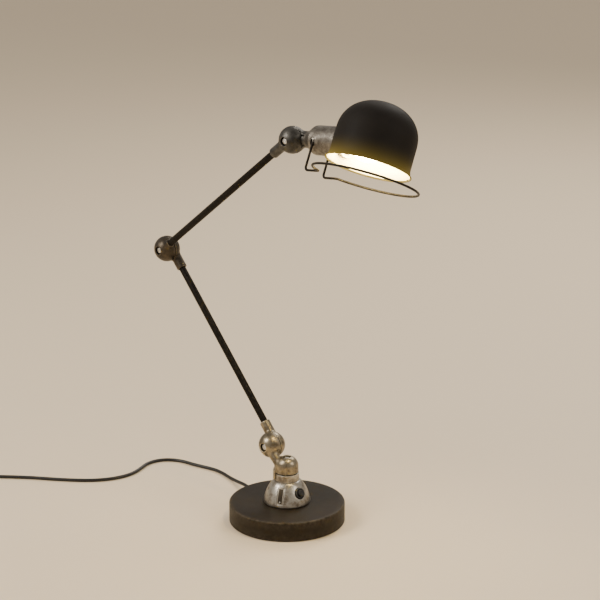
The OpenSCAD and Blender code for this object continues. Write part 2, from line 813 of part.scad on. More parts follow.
module bulb_cap() {
    color("silver") in_head() translate([cap_from + 1, 0, 0]) rotate([0, 90, 0]) union() {
        cylinder(r1 = 5, r2 = bulb_cap_r - 0.3, h = 4);
        translate([0, 0, 4]) collar(bulb_cap_r, bulb_cap_r - bulb_wall, glass_from - cap_from - 5);
    }
}

module bulb_glass() {
    neck = bulb_cap_r - 0.4;
    join = bulb_at - glass_from - sqrt(pow(bulb_r, 2) - pow(neck + 4, 2));
    color([1, 0.95, 0.8]) in_head() translate([glass_from, 0, 0]) rotate([0, 90, 0]) difference() {
        union() {
            cylinder(r1 = neck, r2 = neck + 4, h = join + 1);
            translate([0, 0, bulb_at - glass_from]) sphere(r = bulb_r);
        }
        translate([0, 0, -1]) cylinder(r1 = neck - bulb_wall, r2 = neck + 4 - bulb_wall, h = join + 3);
        translate([0, 0, bulb_at - glass_from]) sphere(r = bulb_r - bulb_wall);
    }
}

module shade() {
    color("#1f1a17") in_head() difference() {
        translate([shade_at, 0, -rim_drop]) rotate_extrude($fn = 128) polygon(concat(
            shade_side(0), [for (i = [len(shade_side(0)) - 1 : -1 : 0]) shade_side(shade_t)[i]]));
        rotate([0, 90, 0]) cylinder(r = socket_r + seat_gap, h = shade_at);
    }
}

module shade_ring() {
    color("#c9c3b6") in_head() translate([lock_in, 0, 0]) rotate([0, 90, 0])
        collar(socket_r + 5, socket_r + seat_gap, lock_t);
}

// Where a point of the ring lies in the head, for an angle around the ring
function lean(p) = let (a = guard_lean, b = guard_side_lean, y = p[1] * cos(b), z = p[1] * sin(b))
    [p[0] * cos(a) + z * sin(a), y, -p[0] * sin(a) + z * cos(a)];
function guard_point(a) = [guard_mid, 0, -guard_drop] + lean([guard_r * cos(a), guard_r * sin(a)]);

module guard_ring() {
    color("black") in_head() {
        translate([guard_mid, 0, -guard_drop]) rotate([0, guard_lean, 0]) rotate([guard_side_lean, 0, 0])
            rotate(180 + guard_open) rotate_extrude(angle = 360 - 2 * guard_open, $fn = 128)
                translate([guard_r, 0]) circle(r = guard_wire_r, $fn = 24);
        for (s = [-1, 1]) {
            end = guard_point(180 - s * guard_open);
            corner = [leg_at, s * leg_side, end[2] - 0.5];
            rod([leg_at, s * leg_side, leg_top], corner, guard_wire_r);
            translate(corner) sphere(r = guard_knob_r);
            rod(corner, end, guard_wire_r);
            translate(end) sphere(r = guard_knob_r);
        }
    }
}

// Cord

function blend_point(a, b, c, d, t) =
    0.5 * (2 * b + (c - a) * t + (2 * a - 5 * b + 4 * c - d) * t * t + (3 * b - a - 3 * c + d) * t * t * t);
function pick(list, i) = list[max(0, min(len(list) - 1, i))];
function smooth_path(list, n) = concat(
    [for (i = [0 : len(list) - 2]) for (k = [0 : n - 1])
        blend_point(pick(list, i - 1), list[i], list[i + 1], pick(list, i + 2), k / n)],
    [list[len(list) - 1]]);
function unit(v) = v / norm(v);

// Tube swept along a list of points
module swept_tube(path, r, sides) {
    n = len(path);
    function dir(i) = unit(pick(path, i + 1) - pick(path, i - 1));
    function out(i) = unit(cross(dir(i), [0, 0, 1]));
    ring = [for (i = [0 : n - 1]) for (k = [0 : sides - 1]) let (a = 360 * (k + 0.5) / sides)
        path[i] + r * (cos(a) * out(i) + sin(a) * cross(out(i), dir(i)))];
    walls = [for (i = [0 : n - 2]) for (k = [0 : sides - 1]) let (j = (k + 1) % sides)
        each [[i * sides + k, i * sides + j, (i + 1) * sides + j],
              [i * sides + k, (i + 1) * sides + j, (i + 1) * sides + k]]];
    polyhedron(ring, concat([[for (k = [sides - 1 : -1 : 0]) k]], walls,
        [[for (k = [0 : sides - 1]) (n - 1) * sides + k]]));
}

module cord_relief() {
    color("#191715") rotate(cord_angle) translate([base_r - rim_wall, 0, cord_exit_h]) rotate([0, 90, 0]) {
        cylinder(r = cord_r + 1 - seat_gap, h = rim_wall + 0.2);
        translate([0, 0, rim_wall + 0.2]) cylinder(r = cord_r + 3, h = 3);
        translate([0, 0, rim_wall + 3.2]) cylinder(r1 = cord_r + 2.4, r2 = cord_r + 0.8, h = relief_len - 3.2);
    }
}

module cord_run() {
    color("black") swept_tube(smooth_path(concat([relief_tip], cord_points), 2), cord_r, cord_sides);
}

module cord_coil() {
    color("black") translate([coil_mid[0], coil_mid[1], coil_low]) rotate_extrude()
        translate([coil_in_r, 0]) square([coil_out_r - coil_in_r, coil_high - coil_low]);
}

module cord_tail() {
    color("black") swept_tube(smooth_path(tail_points, 2), cord_r, cord_sides);
}

module cord_tie() {
    size_w = coil_out_r - coil_in_r + tie_slack + 0.1;
    size_h = coil_high - coil_low + 0.2;
    color("#2a2a2a") translate([coil_mid[0], coil_mid[1], tie_t]) rotate(tie_angle)
        translate([coil_in_r - tie_slack, -tie_w / 2, 0]) difference() {
            translate([-tie_t, 0, -tie_t]) cube([size_w + 2 * tie_t, tie_w, size_h + 2 * tie_t]);
            translate([0, -1, 0]) cube([size_w, tie_w + 2, size_h]);
        }
}

// Frame of the plug: local Z runs from the cord to the pins
module at_plug() {
    translate(tail_points[len(tail_points) - 1]) rotate([0, 0, plug_yaw]) rotate([0, 90, 0]) children();
}

module plug_body() {
    color("#151413") at_plug() {
        cylinder(r1 = cord_r + 1, r2 = plug_r - 1, h = 14);
        translate([0, 0, 14]) intersection() {
            cylinder(r = plug_r, h = plug_len - 14);
            translate([-plug_r + 1, -plug_r, -1]) cube([2 * plug_r - 2, 2 * plug_r, plug_len]);
        }
    }
}

module plug_pins() {
    color("silver") for (s = [-1, 1])
        at_plug() translate([0, s * 4.5, plug_len]) cylinder(r = 2, h = 19);
}

base_disc();
base_cover();
base_felt();
pedestal();
pedestal_screws();
switch_housing();
switch_bezel();
switch_button();
name_plate();
plate_rivet();
base_lead();
turret_ring_disc();
turret_rings();
turret_casting();
turret_bolt();
turret_nut();
turret_washer();
turret_pin_disc();
turret_pins();
shoulder_screw();
shoulder_nut();
shoulder_washer();
shoulder_pin_disc();
shoulder_pins();
shoulder_knuckle();
lower_tube();
lower_wires();
elbow_socket();
lower_ring_discs();
lower_rings();
elbow_knuckle();
upper_tube();
upper_wires();
wrist_socket();
upper_screws();
upper_nuts();
upper_washers();
upper_pin_discs();
upper_pins();
wrist_neck();
wrist_ring_disc();
wrist_rings();
lamp_holder();
neck_retainer();
socket_body();
socket_shell();
bulb_cap();
bulb_glass();
shade();
shade_ring();
guard_ring();
cord_relief();
cord_run();
cord_coil();
cord_tie();
cord_tail();
plug_body();
plug_pins();
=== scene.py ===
import json
import math

import bpy
import numpy as np
from mathutils import Matrix, Vector


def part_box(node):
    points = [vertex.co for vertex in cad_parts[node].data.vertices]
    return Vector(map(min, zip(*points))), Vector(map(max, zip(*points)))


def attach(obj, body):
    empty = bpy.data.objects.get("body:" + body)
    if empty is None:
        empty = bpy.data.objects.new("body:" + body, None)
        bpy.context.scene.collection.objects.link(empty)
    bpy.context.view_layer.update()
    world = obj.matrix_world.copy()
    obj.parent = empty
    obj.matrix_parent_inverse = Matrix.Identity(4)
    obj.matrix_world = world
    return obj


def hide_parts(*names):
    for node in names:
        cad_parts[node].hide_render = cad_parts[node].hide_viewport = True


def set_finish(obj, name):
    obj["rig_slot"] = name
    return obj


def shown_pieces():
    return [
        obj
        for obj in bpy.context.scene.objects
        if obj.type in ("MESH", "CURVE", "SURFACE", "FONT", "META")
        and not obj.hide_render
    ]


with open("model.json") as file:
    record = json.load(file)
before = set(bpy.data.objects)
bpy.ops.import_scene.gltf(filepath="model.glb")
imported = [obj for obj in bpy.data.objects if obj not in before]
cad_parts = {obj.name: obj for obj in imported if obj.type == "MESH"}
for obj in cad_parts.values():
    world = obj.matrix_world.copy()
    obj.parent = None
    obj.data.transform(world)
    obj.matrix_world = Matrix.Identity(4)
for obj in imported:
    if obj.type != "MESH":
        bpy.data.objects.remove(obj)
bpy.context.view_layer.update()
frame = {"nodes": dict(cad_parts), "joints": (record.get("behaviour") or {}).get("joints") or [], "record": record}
print("stage: frame loaded")

# Shapes below are worked out in millimetres, in the lamp's own frame, and turned into metres at the end
mm = 0.001
joint = {j["name"]: j for j in frame["joints"]}


def jointAt(name):
    return np.array(joint[name]["pos_m"], float) / mm


def nodeBox(node):
    low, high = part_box(node)
    return np.array(low) / mm, np.array(high) / mm


shoulder = jointAt("shoulder_tilt")
elbow = jointAt("elbow_fold")
wrist = jointAt("wrist_tilt")
headAt = jointAt("shade_twist")

# --- camera

cameraSet = {"at": (2.28258, -2.25855, 1.3684), "aim": (0.05285, -0.02118, 0.41314), "lens": 120,
             "sensor": 36}
cameraData = bpy.data.cameras.new("camera")
cameraData.lens = cameraSet["lens"]
cameraData.sensor_width = cameraSet["sensor"]
cameraData.clip_end = 60
camera = bpy.data.objects.new("camera", cameraData)
camera.location = cameraSet["at"]
sight = Vector(cameraSet["aim"]) - Vector(cameraSet["at"])
camera.rotation_euler = sight.to_track_quat("-Z", "Y").to_euler()
bpy.context.scene.collection.objects.link(camera)
bpy.context.scene.camera = camera
print("stage: camera")


# --- shapes that several pieces share

def turnTo(xAxis, zAxis):
    # Rotation whose columns are the local X, Y and Z axes
    x, z = np.array(xAxis, float), np.array(zAxis, float)
    x, z = x / np.linalg.norm(x), z / np.linalg.norm(z)
    return np.stack([x, np.cross(z, x), z], axis=1)


def addPiece(name, points, faces, body, slotName, nodes=(), sharp=40):
    mesh = bpy.data.meshes.new(name)
    mesh.from_pydata((np.asarray(points, float) * mm).tolist(), [], faces)
    mesh.validate()
    mesh.shade_smooth()
    mesh.set_sharp_from_angle(angle=math.radians(sharp))
    piece = bpy.data.objects.new(name, mesh)
    bpy.context.scene.collection.objects.link(piece)
    return join(piece, body, slotName, nodes)


def join(piece, body, slotName, nodes=()):
    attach(piece, body)
    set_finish(piece, slotName)
    if nodes:
        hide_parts(*nodes)
    return piece


def rounded(corners, closed=False, steps=6):
    # Outline with an arc at each corner (x, y, radius)
    out = []
    n = len(corners)
    for i, (x, y, r) in enumerate(corners):
        if r <= 0 or (not closed and i in (0, n - 1)):
            out.append((x, y))
            continue
        here = np.array((x, y), float)
        before = np.array(corners[i - 1][:2], float) - here
        after = np.array(corners[(i + 1) % n][:2], float) - here
        before, after = before / np.linalg.norm(before), after / np.linalg.norm(after)
        half = math.acos(max(-1, min(1, float(before @ after)))) / 2
        if abs(half - math.pi / 2) < 1e-3:
            out.append((x, y))
            continue
        reach = r / math.tan(half)
        middle = here + (before + after) / np.linalg.norm(before + after) * r / math.sin(half)
        a, b = here + before * reach - middle, here + after * reach - middle
        start, end = math.atan2(a[1], a[0]), math.atan2(b[1], b[0])
        turn = (end - start + math.pi) % (2 * math.pi) - math.pi
        for k in range(steps + 1):
            angle = start + turn * k / steps
            out.append((middle[0] + r * math.cos(angle), middle[1] + r * math.sin(angle)))
    return out


def turned(outline, origin, matrix, sides=96, closed=False):
    # Solid of revolution about local Z; the outline holds (radius, height)
    points, faces, rings = [], [], []
    for r, z in outline:
        if r < 1e-6:
            rings.append([len(points)])
            points.append((0, 0, z))
        else:
            rings.append(list(range(len(points), len(points) + sides)))
            points += [(r * math.cos(2 * math.pi * k / sides), r * math.sin(2 * math.pi * k / sides), z)
                       for k in range(sides)]
    pairs = list(zip(rings, rings[1:])) + ([(rings[-1], rings[0])] if closed else [])
    for a, b in pairs:
        for k in range(sides):
            j = (k + 1) % sides
            if len(a) == 1 and len(b) == 1:
                break
            if len(a) == 1:
                faces.append((a[0], b[j], b[k]))
            elif len(b) == 1:
                faces.append((a[k], a[j], b[0]))
            else:
                faces.append((a[k], a[j], b[j], b[k]))
    return np.array(points) @ np.asarray(matrix).T + np.asarray(origin), faces


def swept(path, radius, sides=16):
    # Round tube along a list of points, with flat ends
    path = np.asarray(path, float)
    ahead = np.gradient(path, axis=0)
    ahead /= np.linalg.norm(ahead, axis=1)[:, None]
    out = np.cross(ahead[0], (0, 0, 1) if abs(ahead[0][2]) < 0.9 else (1, 0, 0))
    points, faces = [], []
    for at, along in zip(path, ahead):
        out = out - along * (out @ along)
        out /= np.linalg.norm(out)
        up = np.cross(along, out)
        points += [at + radius * (math.cos(a) * out + math.sin(a) * up)
                   for a in (2 * math.pi * k / sides for k in range(sides))]
    for i in range(len(path) - 1):
        for k in range(sides):
            j = (k + 1) % sides
            faces.append((i * sides + k, i * sides + j, (i + 1) * sides + j, (i + 1) * sides + k))
    faces.append(tuple(range(sides - 1, -1, -1)))
    faces.append(tuple(range((len(path) - 1) * sides, len(path) * sides)))
    return np.array(points), faces


def smoothPath(points, n):
    # Catmull-Rom curve through the points
    p = [np.array(q, float) for q in points]
    out = []
    for i in range(len(p) - 1):
        a, b, c, d = p[max(i - 1, 0)], p[i], p[i + 1], p[min(i + 2, len(p) - 1)]
        for k in range(n):
            t = k / n
            out.append(0.5 * (2 * b + (c - a) * t + (2 * a - 5 * b + 4 * c - d) * t * t
                              + (3 * b - a - 3 * c + d) * t ** 3))
    return out + [p[-1]]


# --- cord

cordSet = {"width": 6, "angle": 164.5, "baseR": 100, "relief": 30, "height": 10, "coilMid": (-527.2, -310.8),
           "coilTurns": 5.133, "pitch": 6.05, "low": 4.0, "high": 10.1, "rise": 0.3, "perTurn": 18}
cordRoute = [
    (-152, 42, 9.2), (-178, 49, 6), (-204, 56, 3.5), (-228, 62, 3.1), (-248, 64, 3.1), (-266, 62, 3.1),
    (-284, 58, 3.1), (-304, 54, 3.1), (-324, 51, 3.1), (-342, 44, 3.1), (-356, 32, 3.1), (-364, 15, 3.1),
    (-364, -5, 3.1), (-357, -24, 3.1), (-350, -43, 3.1), (-347, -64, 3.1), (-350, -86, 3.1),
    (-359, -108, 3.1), (-373, -128, 3.1), (-391, -146, 3.1), (-412, -163, 3.1), (-434, -179, 3.1),
    (-457, -195, 3.1), (-480, -213, 3.1), (-502, -232, 3.1), (-521, -249, 3.3), (-539, -265.6, 3.7),
    (-555, -280, 4)
]
cordTail = [(-571, -326, 9.4), (-571, -341, 7.6), (-566, -355, 6.2), (-555, -365, 6.5),
            (-541, -369.5, 8.2), (-529, -370, 9)]
cordOut = np.array([math.cos(math.radians(cordSet["angle"])), math.sin(math.radians(cordSet["angle"])), 0])
cordExit = cordOut * (cordSet["baseR"] + cordSet["relief"]) + np.array([0, 0, cordSet["height"]])


def coilPoints():
    # Two layers: in to the middle along the table, then out again on top
    mid, turns = cordSet["coilMid"], cordSet["coilTurns"]
    x, y = cordRoute[-1][0] - mid[0], cordRoute[-1][1] - mid[1]
    start, outer = math.atan2(y, x), math.hypot(x, y)
    count = round(turns * cordSet["perTurn"])
    points = []
    for i in range(1, count + 1):
        t = turns * i / count
        r = outer - cordSet["pitch"] * min(t, turns - t)
        lift = min(max((t - turns / 2) / cordSet["rise"] + 0.5, 0), 1)
        z = cordSet["low"] + (cordSet["high"] - cordSet["low"]) * lift * lift * (3 - 2 * lift)
        a = start + 2 * math.pi * t
        points.append((mid[0] + r * math.cos(a), mid[1] + r * math.sin(a), z))
    return points


cordLine = smoothPath([tuple(cordExit)] + cordRoute + coilPoints() + cordTail, 4)
cordPoints, cordFaces = swept(cordLine, cordSet["width"] / 2, 20)
cord = addPiece("cord", cordPoints, cordFaces, "base", "cord_jacket", ["cord_run", "cord_coil", "cord_tail"])


# --- castings: each is a distance field, negative inside, that becomes a mesh of even small faces

def ballField(p, at, r):
    return np.linalg.norm(p - np.asarray(at, float), axis=-1) - r


def barField(p, a, b, r, edge=0.4, r2=None):
    # Round bar from a to b with rounded ends, tapering to r2
    a, b = np.asarray(a, float), np.asarray(b, float)
    length = np.linalg.norm(b - a)
    axis = (b - a) / length
    q = p - a
    along = q @ axis
    out = np.linalg.norm(q - along[..., None] * axis, axis=-1)
    r = r if r2 is None else r + (r2 - r) * np.clip(along / length, 0, 1)
    dx = out - r + edge
    dz = np.abs(along - length / 2) - length / 2 + edge
    return np.minimum(np.maximum(dx, dz), 0) + np.hypot(np.maximum(dx, 0), np.maximum(dz, 0)) - edge


def outlineField(r, z, outline):
    # Distance to a closed outline (radius, height) in the half plane
    d = np.full(r.shape, 1e9)
    inside = np.zeros(r.shape, bool)
    for (r0, z0), (r1, z1) in zip(outline, outline[1:] + outline[:1]):
        er, ez = r1 - r0, z1 - z0
        if er == 0 and ez == 0:
            continue
        t = np.clip(((r - r0) * er + (z - z0) * ez) / (er * er + ez * ez), 0, 1)
        if not (r0 < 1e-6 and r1 < 1e-6):
            d = np.minimum(d, np.hypot(r - r0 - t * er, z - z0 - t * ez))
        crosses = (z0 <= z) != (z1 <= z)
        with np.errstate(divide="ignore", invalid="ignore"):
            at = r0 + (z - z0) * er / ez if ez else r * 0
        inside ^= crosses & (r < at)
    return np.where(inside, -d, d)


def add(a, b, k):
    h = np.clip(0.5 + 0.5 * (b - a) / k, 0, 1)
    return b + (a - b) * h - k * h * (1 - h)


def cut(a, b, k):
    return -add(-a, b, k)


def cast(field, low, high, cell):
    # Surface nets over a grid, then each point slides onto the surface
    axes = [np.arange(lo - 1.5 * cell, hi + 2.5 * cell, cell) for lo, hi in zip(low, high)]
    grid = np.stack(np.meshgrid(*axes, indexing="ij"), -1)
    d = np.concatenate([field(part) for part in np.array_split(grid, max(1, grid.size // 1500000), 0)])
    inside = d < 0
    nx, ny, nz = (n - 1 for n in d.shape)
    count = np.zeros((nx, ny, nz))
    total = np.zeros((nx, ny, nz, 3))
    for axis in range(3):
        others = [k for k in range(3) if k != axis]
        for u in (0, 1):
            for v in (0, 1):
                first, last = [0, 0, 0], [nx, ny, nz]
                first[others[0]], first[others[1]] = u, v
                a = tuple(slice(first[k], first[k] + last[k]) for k in range(3))
                b = tuple(slice(first[k] + (k == axis), first[k] + (k == axis) + last[k]) for k in range(3))
                crosses = inside[a] != inside[b]
                share = np.where(crosses, d[a] / np.where(crosses, d[a] - d[b], 1), 0)
                total += np.where(crosses[..., None], grid[a] + share[..., None] * (grid[b] - grid[a]), 0)
                count += crosses
    used = count > 0
    index = np.full(used.shape, -1)
    index[used] = np.arange(used.sum())
    points = total[used] / count[used][:, None]
    start = points.copy()
    for _ in range(3):
        here = field(points)
        slope = np.stack([field(points + np.eye(3)[k] * 0.02) - field(points - np.eye(3)[k] * 0.02)
                          for k in range(3)], -1) / 0.04
        step = slope * (here / np.maximum((slope ** 2).sum(-1), 0.2))[:, None]
        points = np.clip(points - step, start - 0.6 * cell, start + 0.6 * cell)
    faces = []
    for axis in range(3):
        u, v = [(1, 2), (2, 0), (0, 1)][axis]
        size = [nx, ny, nz]
        size[u] -= 1
        size[v] -= 1
        a = [slice(0, size[k]) for k in range(3)]
        a[u], a[v] = slice(1, 1 + size[u]), slice(1, 1 + size[v])
        b = list(a)
        b[axis] = slice(1, 1 + size[axis])
        from_, to = inside[tuple(a)], inside[tuple(b)]
        corners = []
        for du, dv in ((0, 0), (1, 0), (1, 1), (0, 1)):
            c = [slice(0, size[k]) for k in range(3)]
            c[u], c[v] = slice(du, du + size[u]), slice(dv, dv + size[v])
            corners.append(index[tuple(c)])
        quads = np.stack(corners, -1)
        faces.append(quads[from_ & ~to])
        faces.append(quads[~from_ & to][:, ::-1])
    return points, np.concatenate(faces).tolist()


def casting(name, field, low, high, cell, body, slotName, nodes):
    points, faces = cast(field, low, high, cell)
    piece = addPiece(name, points, faces, body, slotName, nodes, sharp=60)
    print("stage: %s, %d faces" % (name, len(faces)))
    return piece


# --- base: a turned disc on its felt and cover

baseSet = {"r": 100, "height": 35, "lift": 1, "edge": 2.5, "foot": 1, "coverR": 95.1, "coverTop": 3,
           "holeR": 19}


def makeBase():
    d = baseSet
    outline = rounded([(d["holeR"], d["coverTop"], 0), (d["coverR"], d["coverTop"], 0.3),
                       (d["coverR"], d["lift"], 0.3), (d["r"], d["lift"], d["foot"]),
                       (d["r"], d["height"], d["edge"]), (d["holeR"], d["height"], 0)], closed=False,
                       steps=8)
    ring = [outline[0]]
    for a, b in zip(outline, outline[1:]):  # short steps across the flat top keep its shading clean
        pieces = max(1, int(math.dist(a, b) // 12))
        ring += [(a[0] + (b[0] - a[0]) * k / pieces, a[1] + (b[1] - a[1]) * k / pieces)
                 for k in range(1, pieces + 1)]
    points, faces = turned(ring, (0, 0, 0), np.eye(3), sides=192, closed=True)
    return addPiece("base", points, faces, "base", "base_paint", ["base_disc"])


base = makeBase()

# --- pedestal: a bell with its switch and its blank plate

bellSet = {"foot": 35, "r": 41, "neckR": 21, "height": 40, "neck": 13, "power": 1.45, "wall": 4, "round": 2,
           "web": 73.5, "webT": 5, "spigotR": 15.55, "boltR": 4.1, "cell": 0.85}
switchSet = {"angle": -4, "height": 23.5, "lean": 25, "bezelR": 9.5, "buttonR": 5.4, "spot": 1.5,
             "neckR": 6.45,
             "bezelH": 3.2, "proud": 3.6}
plateSet = {"angle": -64, "height": 21, "lean": 25, "length": 28, "width": 10.5, "sink": 1.6, "thick": 1,
            "border": 1.3, "raise": 0.3, "rivetHeight": 11.5, "rivetLean": 16.8}


def bellAt(z, inset=0):
    d = bellSet
    t = 1 - min(max(z / d["height"], 0), 1) ** d["power"]
    return d["neckR"] - inset + (d["r"] - d["neckR"]) * t ** (1 / d["power"])


def bellFrame(angle, height, lean):
    # Place on the bell's flank, with local Z pointing out of it and local X up it
    a, b = math.radians(angle), math.radians(lean)
    z = np.array([math.cos(b) * math.cos(a), math.cos(b) * math.sin(a), math.sin(b)])
    x = np.array([-math.sin(b) * math.cos(a), -math.sin(b) * math.sin(a), math.cos(b)])
    at = np.array([bellAt(height) * math.cos(a), bellAt(height) * math.sin(a), bellSet["foot"] + height])
    return at, turnTo(x, z)


def bellOutline(inset, foot, top):
    d = bellSet
    low = d["round"] if inset == 0 else 0
    side = [(bellAt(z, inset), foot + z) for z in
            (low + (d["height"] - low) * math.sin(math.pi / 2 * i / 24)
             for i in range(25)) if foot + z <= top]
    return [(0, foot), (side[0][0] - low, foot)] + side + [(side[-1][0], top), (0, top)]


def bellSkin(p):
    d = bellSet
    neckTop = d["foot"] + d["height"] + d["neck"]
    return outlineField(np.hypot(p[..., 0], p[..., 1]), p[..., 2], bellOutline(0, d["foot"], neckTop))


def plateLocal(p, grow=0.0):
    # Distance outside the plate's rounded rectangle, seen square on
    d = plateSet
    at, turn = bellFrame(d["angle"], d["height"], d["lean"])
    q = (p - at) @ turn
    half = np.array([d["length"] / 2 + grow, d["width"] / 2 + grow])
    e = np.abs(q[..., :2]) - half + 1.2
    return np.minimum(e.max(-1), 0) + np.linalg.norm(np.maximum(e, 0), axis=-1) - 1.2, q[..., 2]


def bellField(p):
    d, s = bellSet, switchSet
    r, z = np.hypot(p[..., 0], p[..., 1]), p[..., 2]
    skin = bellSkin(p)
    f = cut(skin, outlineField(r, z, bellOutline(d["wall"], d["foot"] - 1, d["web"] - d["webT"])), 0.5)
    f = cut(f, barField(p, (0, 0, d["web"]), (0, 0, 120), d["spigotR"], 0.1), 0.6)
    f = cut(f, barField(p, (0, 0, 30), (0, 0, 120), d["boltR"], 0.1), 0.3)
    at, turn = bellFrame(s["angle"], s["height"], s["lean"])
    out = turn[:, 2]
    f = cut(f, barField(p, at - 15 * out, at + 15 * out, s["neckR"], 0.1), 0.3)
    f = cut(f, barField(p, at - s["spot"] * out, at + 10 * out, s["bezelR"] + 0.5, 0.2), 0.9)
    flat, front = plateLocal(p, 0.4)
    pocket = np.maximum(np.maximum(flat, -(skin + plateSet["sink"])), -front - 8)
    return cut(f, pocket, 0.7)


bell = casting("bell", bellField, (-42, -42, 34.5), (42, 42, 88.5), bellSet["cell"], "base", "raw_casting",
               ["pedestal"])


def plateField(p):
    d = plateSet
    flat, front = plateLocal(p)
    skin = bellSkin(p)
    rim = d["raise"] * np.clip((flat + d["border"]) / 0.3 + 0.5, 0, 1)
    f = np.maximum(skin + d["sink"] - d["thick"] - rim, -(skin + d["sink"] - 0.05))
    f = np.maximum(f, -front - 8)
    return -add(-f, -flat, 0.5)


plateAt, plateTurn = bellFrame(plateSet["angle"], plateSet["height"], plateSet["lean"])
plateReach = np.abs(plateTurn) @ np.array([15, 6.5, 3.5])
plate = casting("blankPlate", plateField, plateAt - plateReach - plateTurn[:, 2], plateAt + plateReach, 0.3,
                "base", "plate_bronze", ["name_plate"])


def makeRivet():
    d = plateSet
    at, turn = bellFrame(d["angle"], d["rivetHeight"], d["rivetLean"])
    dome = [(0, -0.5), (1.3, -0.5), (1.3, 0.05)]
    dome += [(1.3 * math.cos(math.radians(a)), 0.05 + 0.75 * math.sin(math.radians(a))) for a in range(15,
            90, 15)]
    points, faces = turned(dome + [(0, 0.8)], at - turn[:, 2] * (d["sink"] - d["thick"]), turn, sides=24)
    return addPiece("plateRivet", points, faces, "base", "bright_steel", ["plate_rivet"])


makeRivet()


def makeSwitch():
    d = switchSet
    at, turn = bellFrame(d["angle"], d["height"], d["lean"])
    seat = at - turn[:, 2] * d["spot"]
    ring = rounded([(d["neckR"] - 0.35, 0, 0), (d["bezelR"], 0, 0.2), (d["bezelR"], d["bezelH"] - 0.3, 1.1),
                    (d["buttonR"] + 2.2, d["bezelH"], 0.3), (d["buttonR"] + 1.2, d["bezelH"] - 0.7, 0.3),
                    (d["neckR"] - 0.35, d["bezelH"] - 0.7, 0.2)], closed=True)
    points, faces = turned(ring, seat, turn, sides=72, closed=True)
    bezel = addPiece("switchBezel", points, faces, "base", "black_plastic", ["switch_bezel"])
    top = d["proud"] + 1
    cap = rounded([(0, -8, 0), (d["buttonR"], -8, 0.2), (d["buttonR"], top, 1.0), (3.4, top - 0.15, 0.4),
                   (0, top - 0.45, 0)])
    points, faces = turned(cap, at, turn, sides=72)
    return bezel, addPiece("switchButton", points, faces, "button", "black_plastic", ["switch_button"])


makeSwitch()

# --- turret and knuckles

ballSet = {"r": 23, "inner": 19, "ledge": 5, "gap": 0.3, "grooveHalf": 0.85, "recessR": 7.2,
           "recessAt": 14.5, "bossR": 9.2, "bossIn": 9,
           "screwR": 2.55, "blend": 3.2, "cell": 0.75}
armSet = {"length": 400, "lower": 131.4, "upper": 37.8, "offset": 10, "tubeR": 6, "tubeWall": 1, "start": 21,
          "sleeveR": 9, "sleeve": 43, "collarR": 7.6, "collar": 27}
turretSet = {"floor": 89.5, "r": 20, "side": 10, "dome": 18, "power": 0.85, "spigotR": 15.5, "seat": 108.5,
             "boltR": 7, "skirtIn": 21.4, "skirtT": 2.6, "skirtFoot": 76.5, "slope": -41.6, "stubR": 8.2,
             "stub": 41, "cell": 0.85}


def along(slope):
    a = math.radians(slope)
    return np.array([math.cos(a), 0, math.sin(a)])


def hollowBall(p, side, outside, away):
    # Half of a ball knuckle; outside is what grows out of it and away is what the other half takes
    d = ballSet
    y = p[..., 1] * side
    f = add(ballField(p, (0, 0, 0), d["r"]), outside, d["blend"])
    f = cut(f, away, 1.6)
    f = cut(f, np.maximum(np.abs(y) - d["grooveHalf"], -(ballField(p, (0, 0, 0), d["r"]) + 2)), 0.3)
    hollow = np.minimum(ballField(p, (0, 0, 0), d["inner"]),
                        barField(p, (0, -side, 0), (0, side * d["ledge"], 0), d["inner"] + 0.05, 0.1))
    boss = barField(p, (0, side * d["bossIn"], 0), (0, side * 21, 0), d["bossR"], 0.5)
    hollow = np.maximum(hollow, -boss)
    f = cut(f, hollow, 0.4)
    f = cut(f, barField(p, (0, side * d["recessAt"], 0), (0, side * 40, 0), d["recessR"], 0.4), 0.9)
    return cut(f, barField(p, (0, 0, 0), (0, side * 40, 0), d["screwR"], 0.1), 0.3)


def otherSide(p, side):
    # Negative on the side of the split that belongs to the other half
    return p[..., 1] * side - ballSet["gap"] / 2


def sleeveField(p, slope, side, r, reach):
    a = along(slope)
    y = np.array([0, side * armSet["offset"], 0])
    return barField(p, a * 13 + y, a * reach + y, r, 1.2)


def boredForTube(f, p, slope, side):
    a = along(slope)
    y = np.array([0, side * armSet["offset"], 0])
    return cut(f, barField(p, a * armSet["start"] + y, a * 90 + y, armSet["tubeR"] + 0.05, 0.1), 0.5)


def makeKnuckle(name, at, side, slope, r, reach, body, slotName, node):
    def field(p):
        q = p - at
        f = hollowBall(q, side, sleeveField(q, slope, side, r, reach), otherSide(q, side))
        return boredForTube(f, q, slope, side)

    low, high = nodeBox(node)
    return casting(name, field, low - 0.5, high + 0.5, ballSet["cell"], body, slotName, [node])


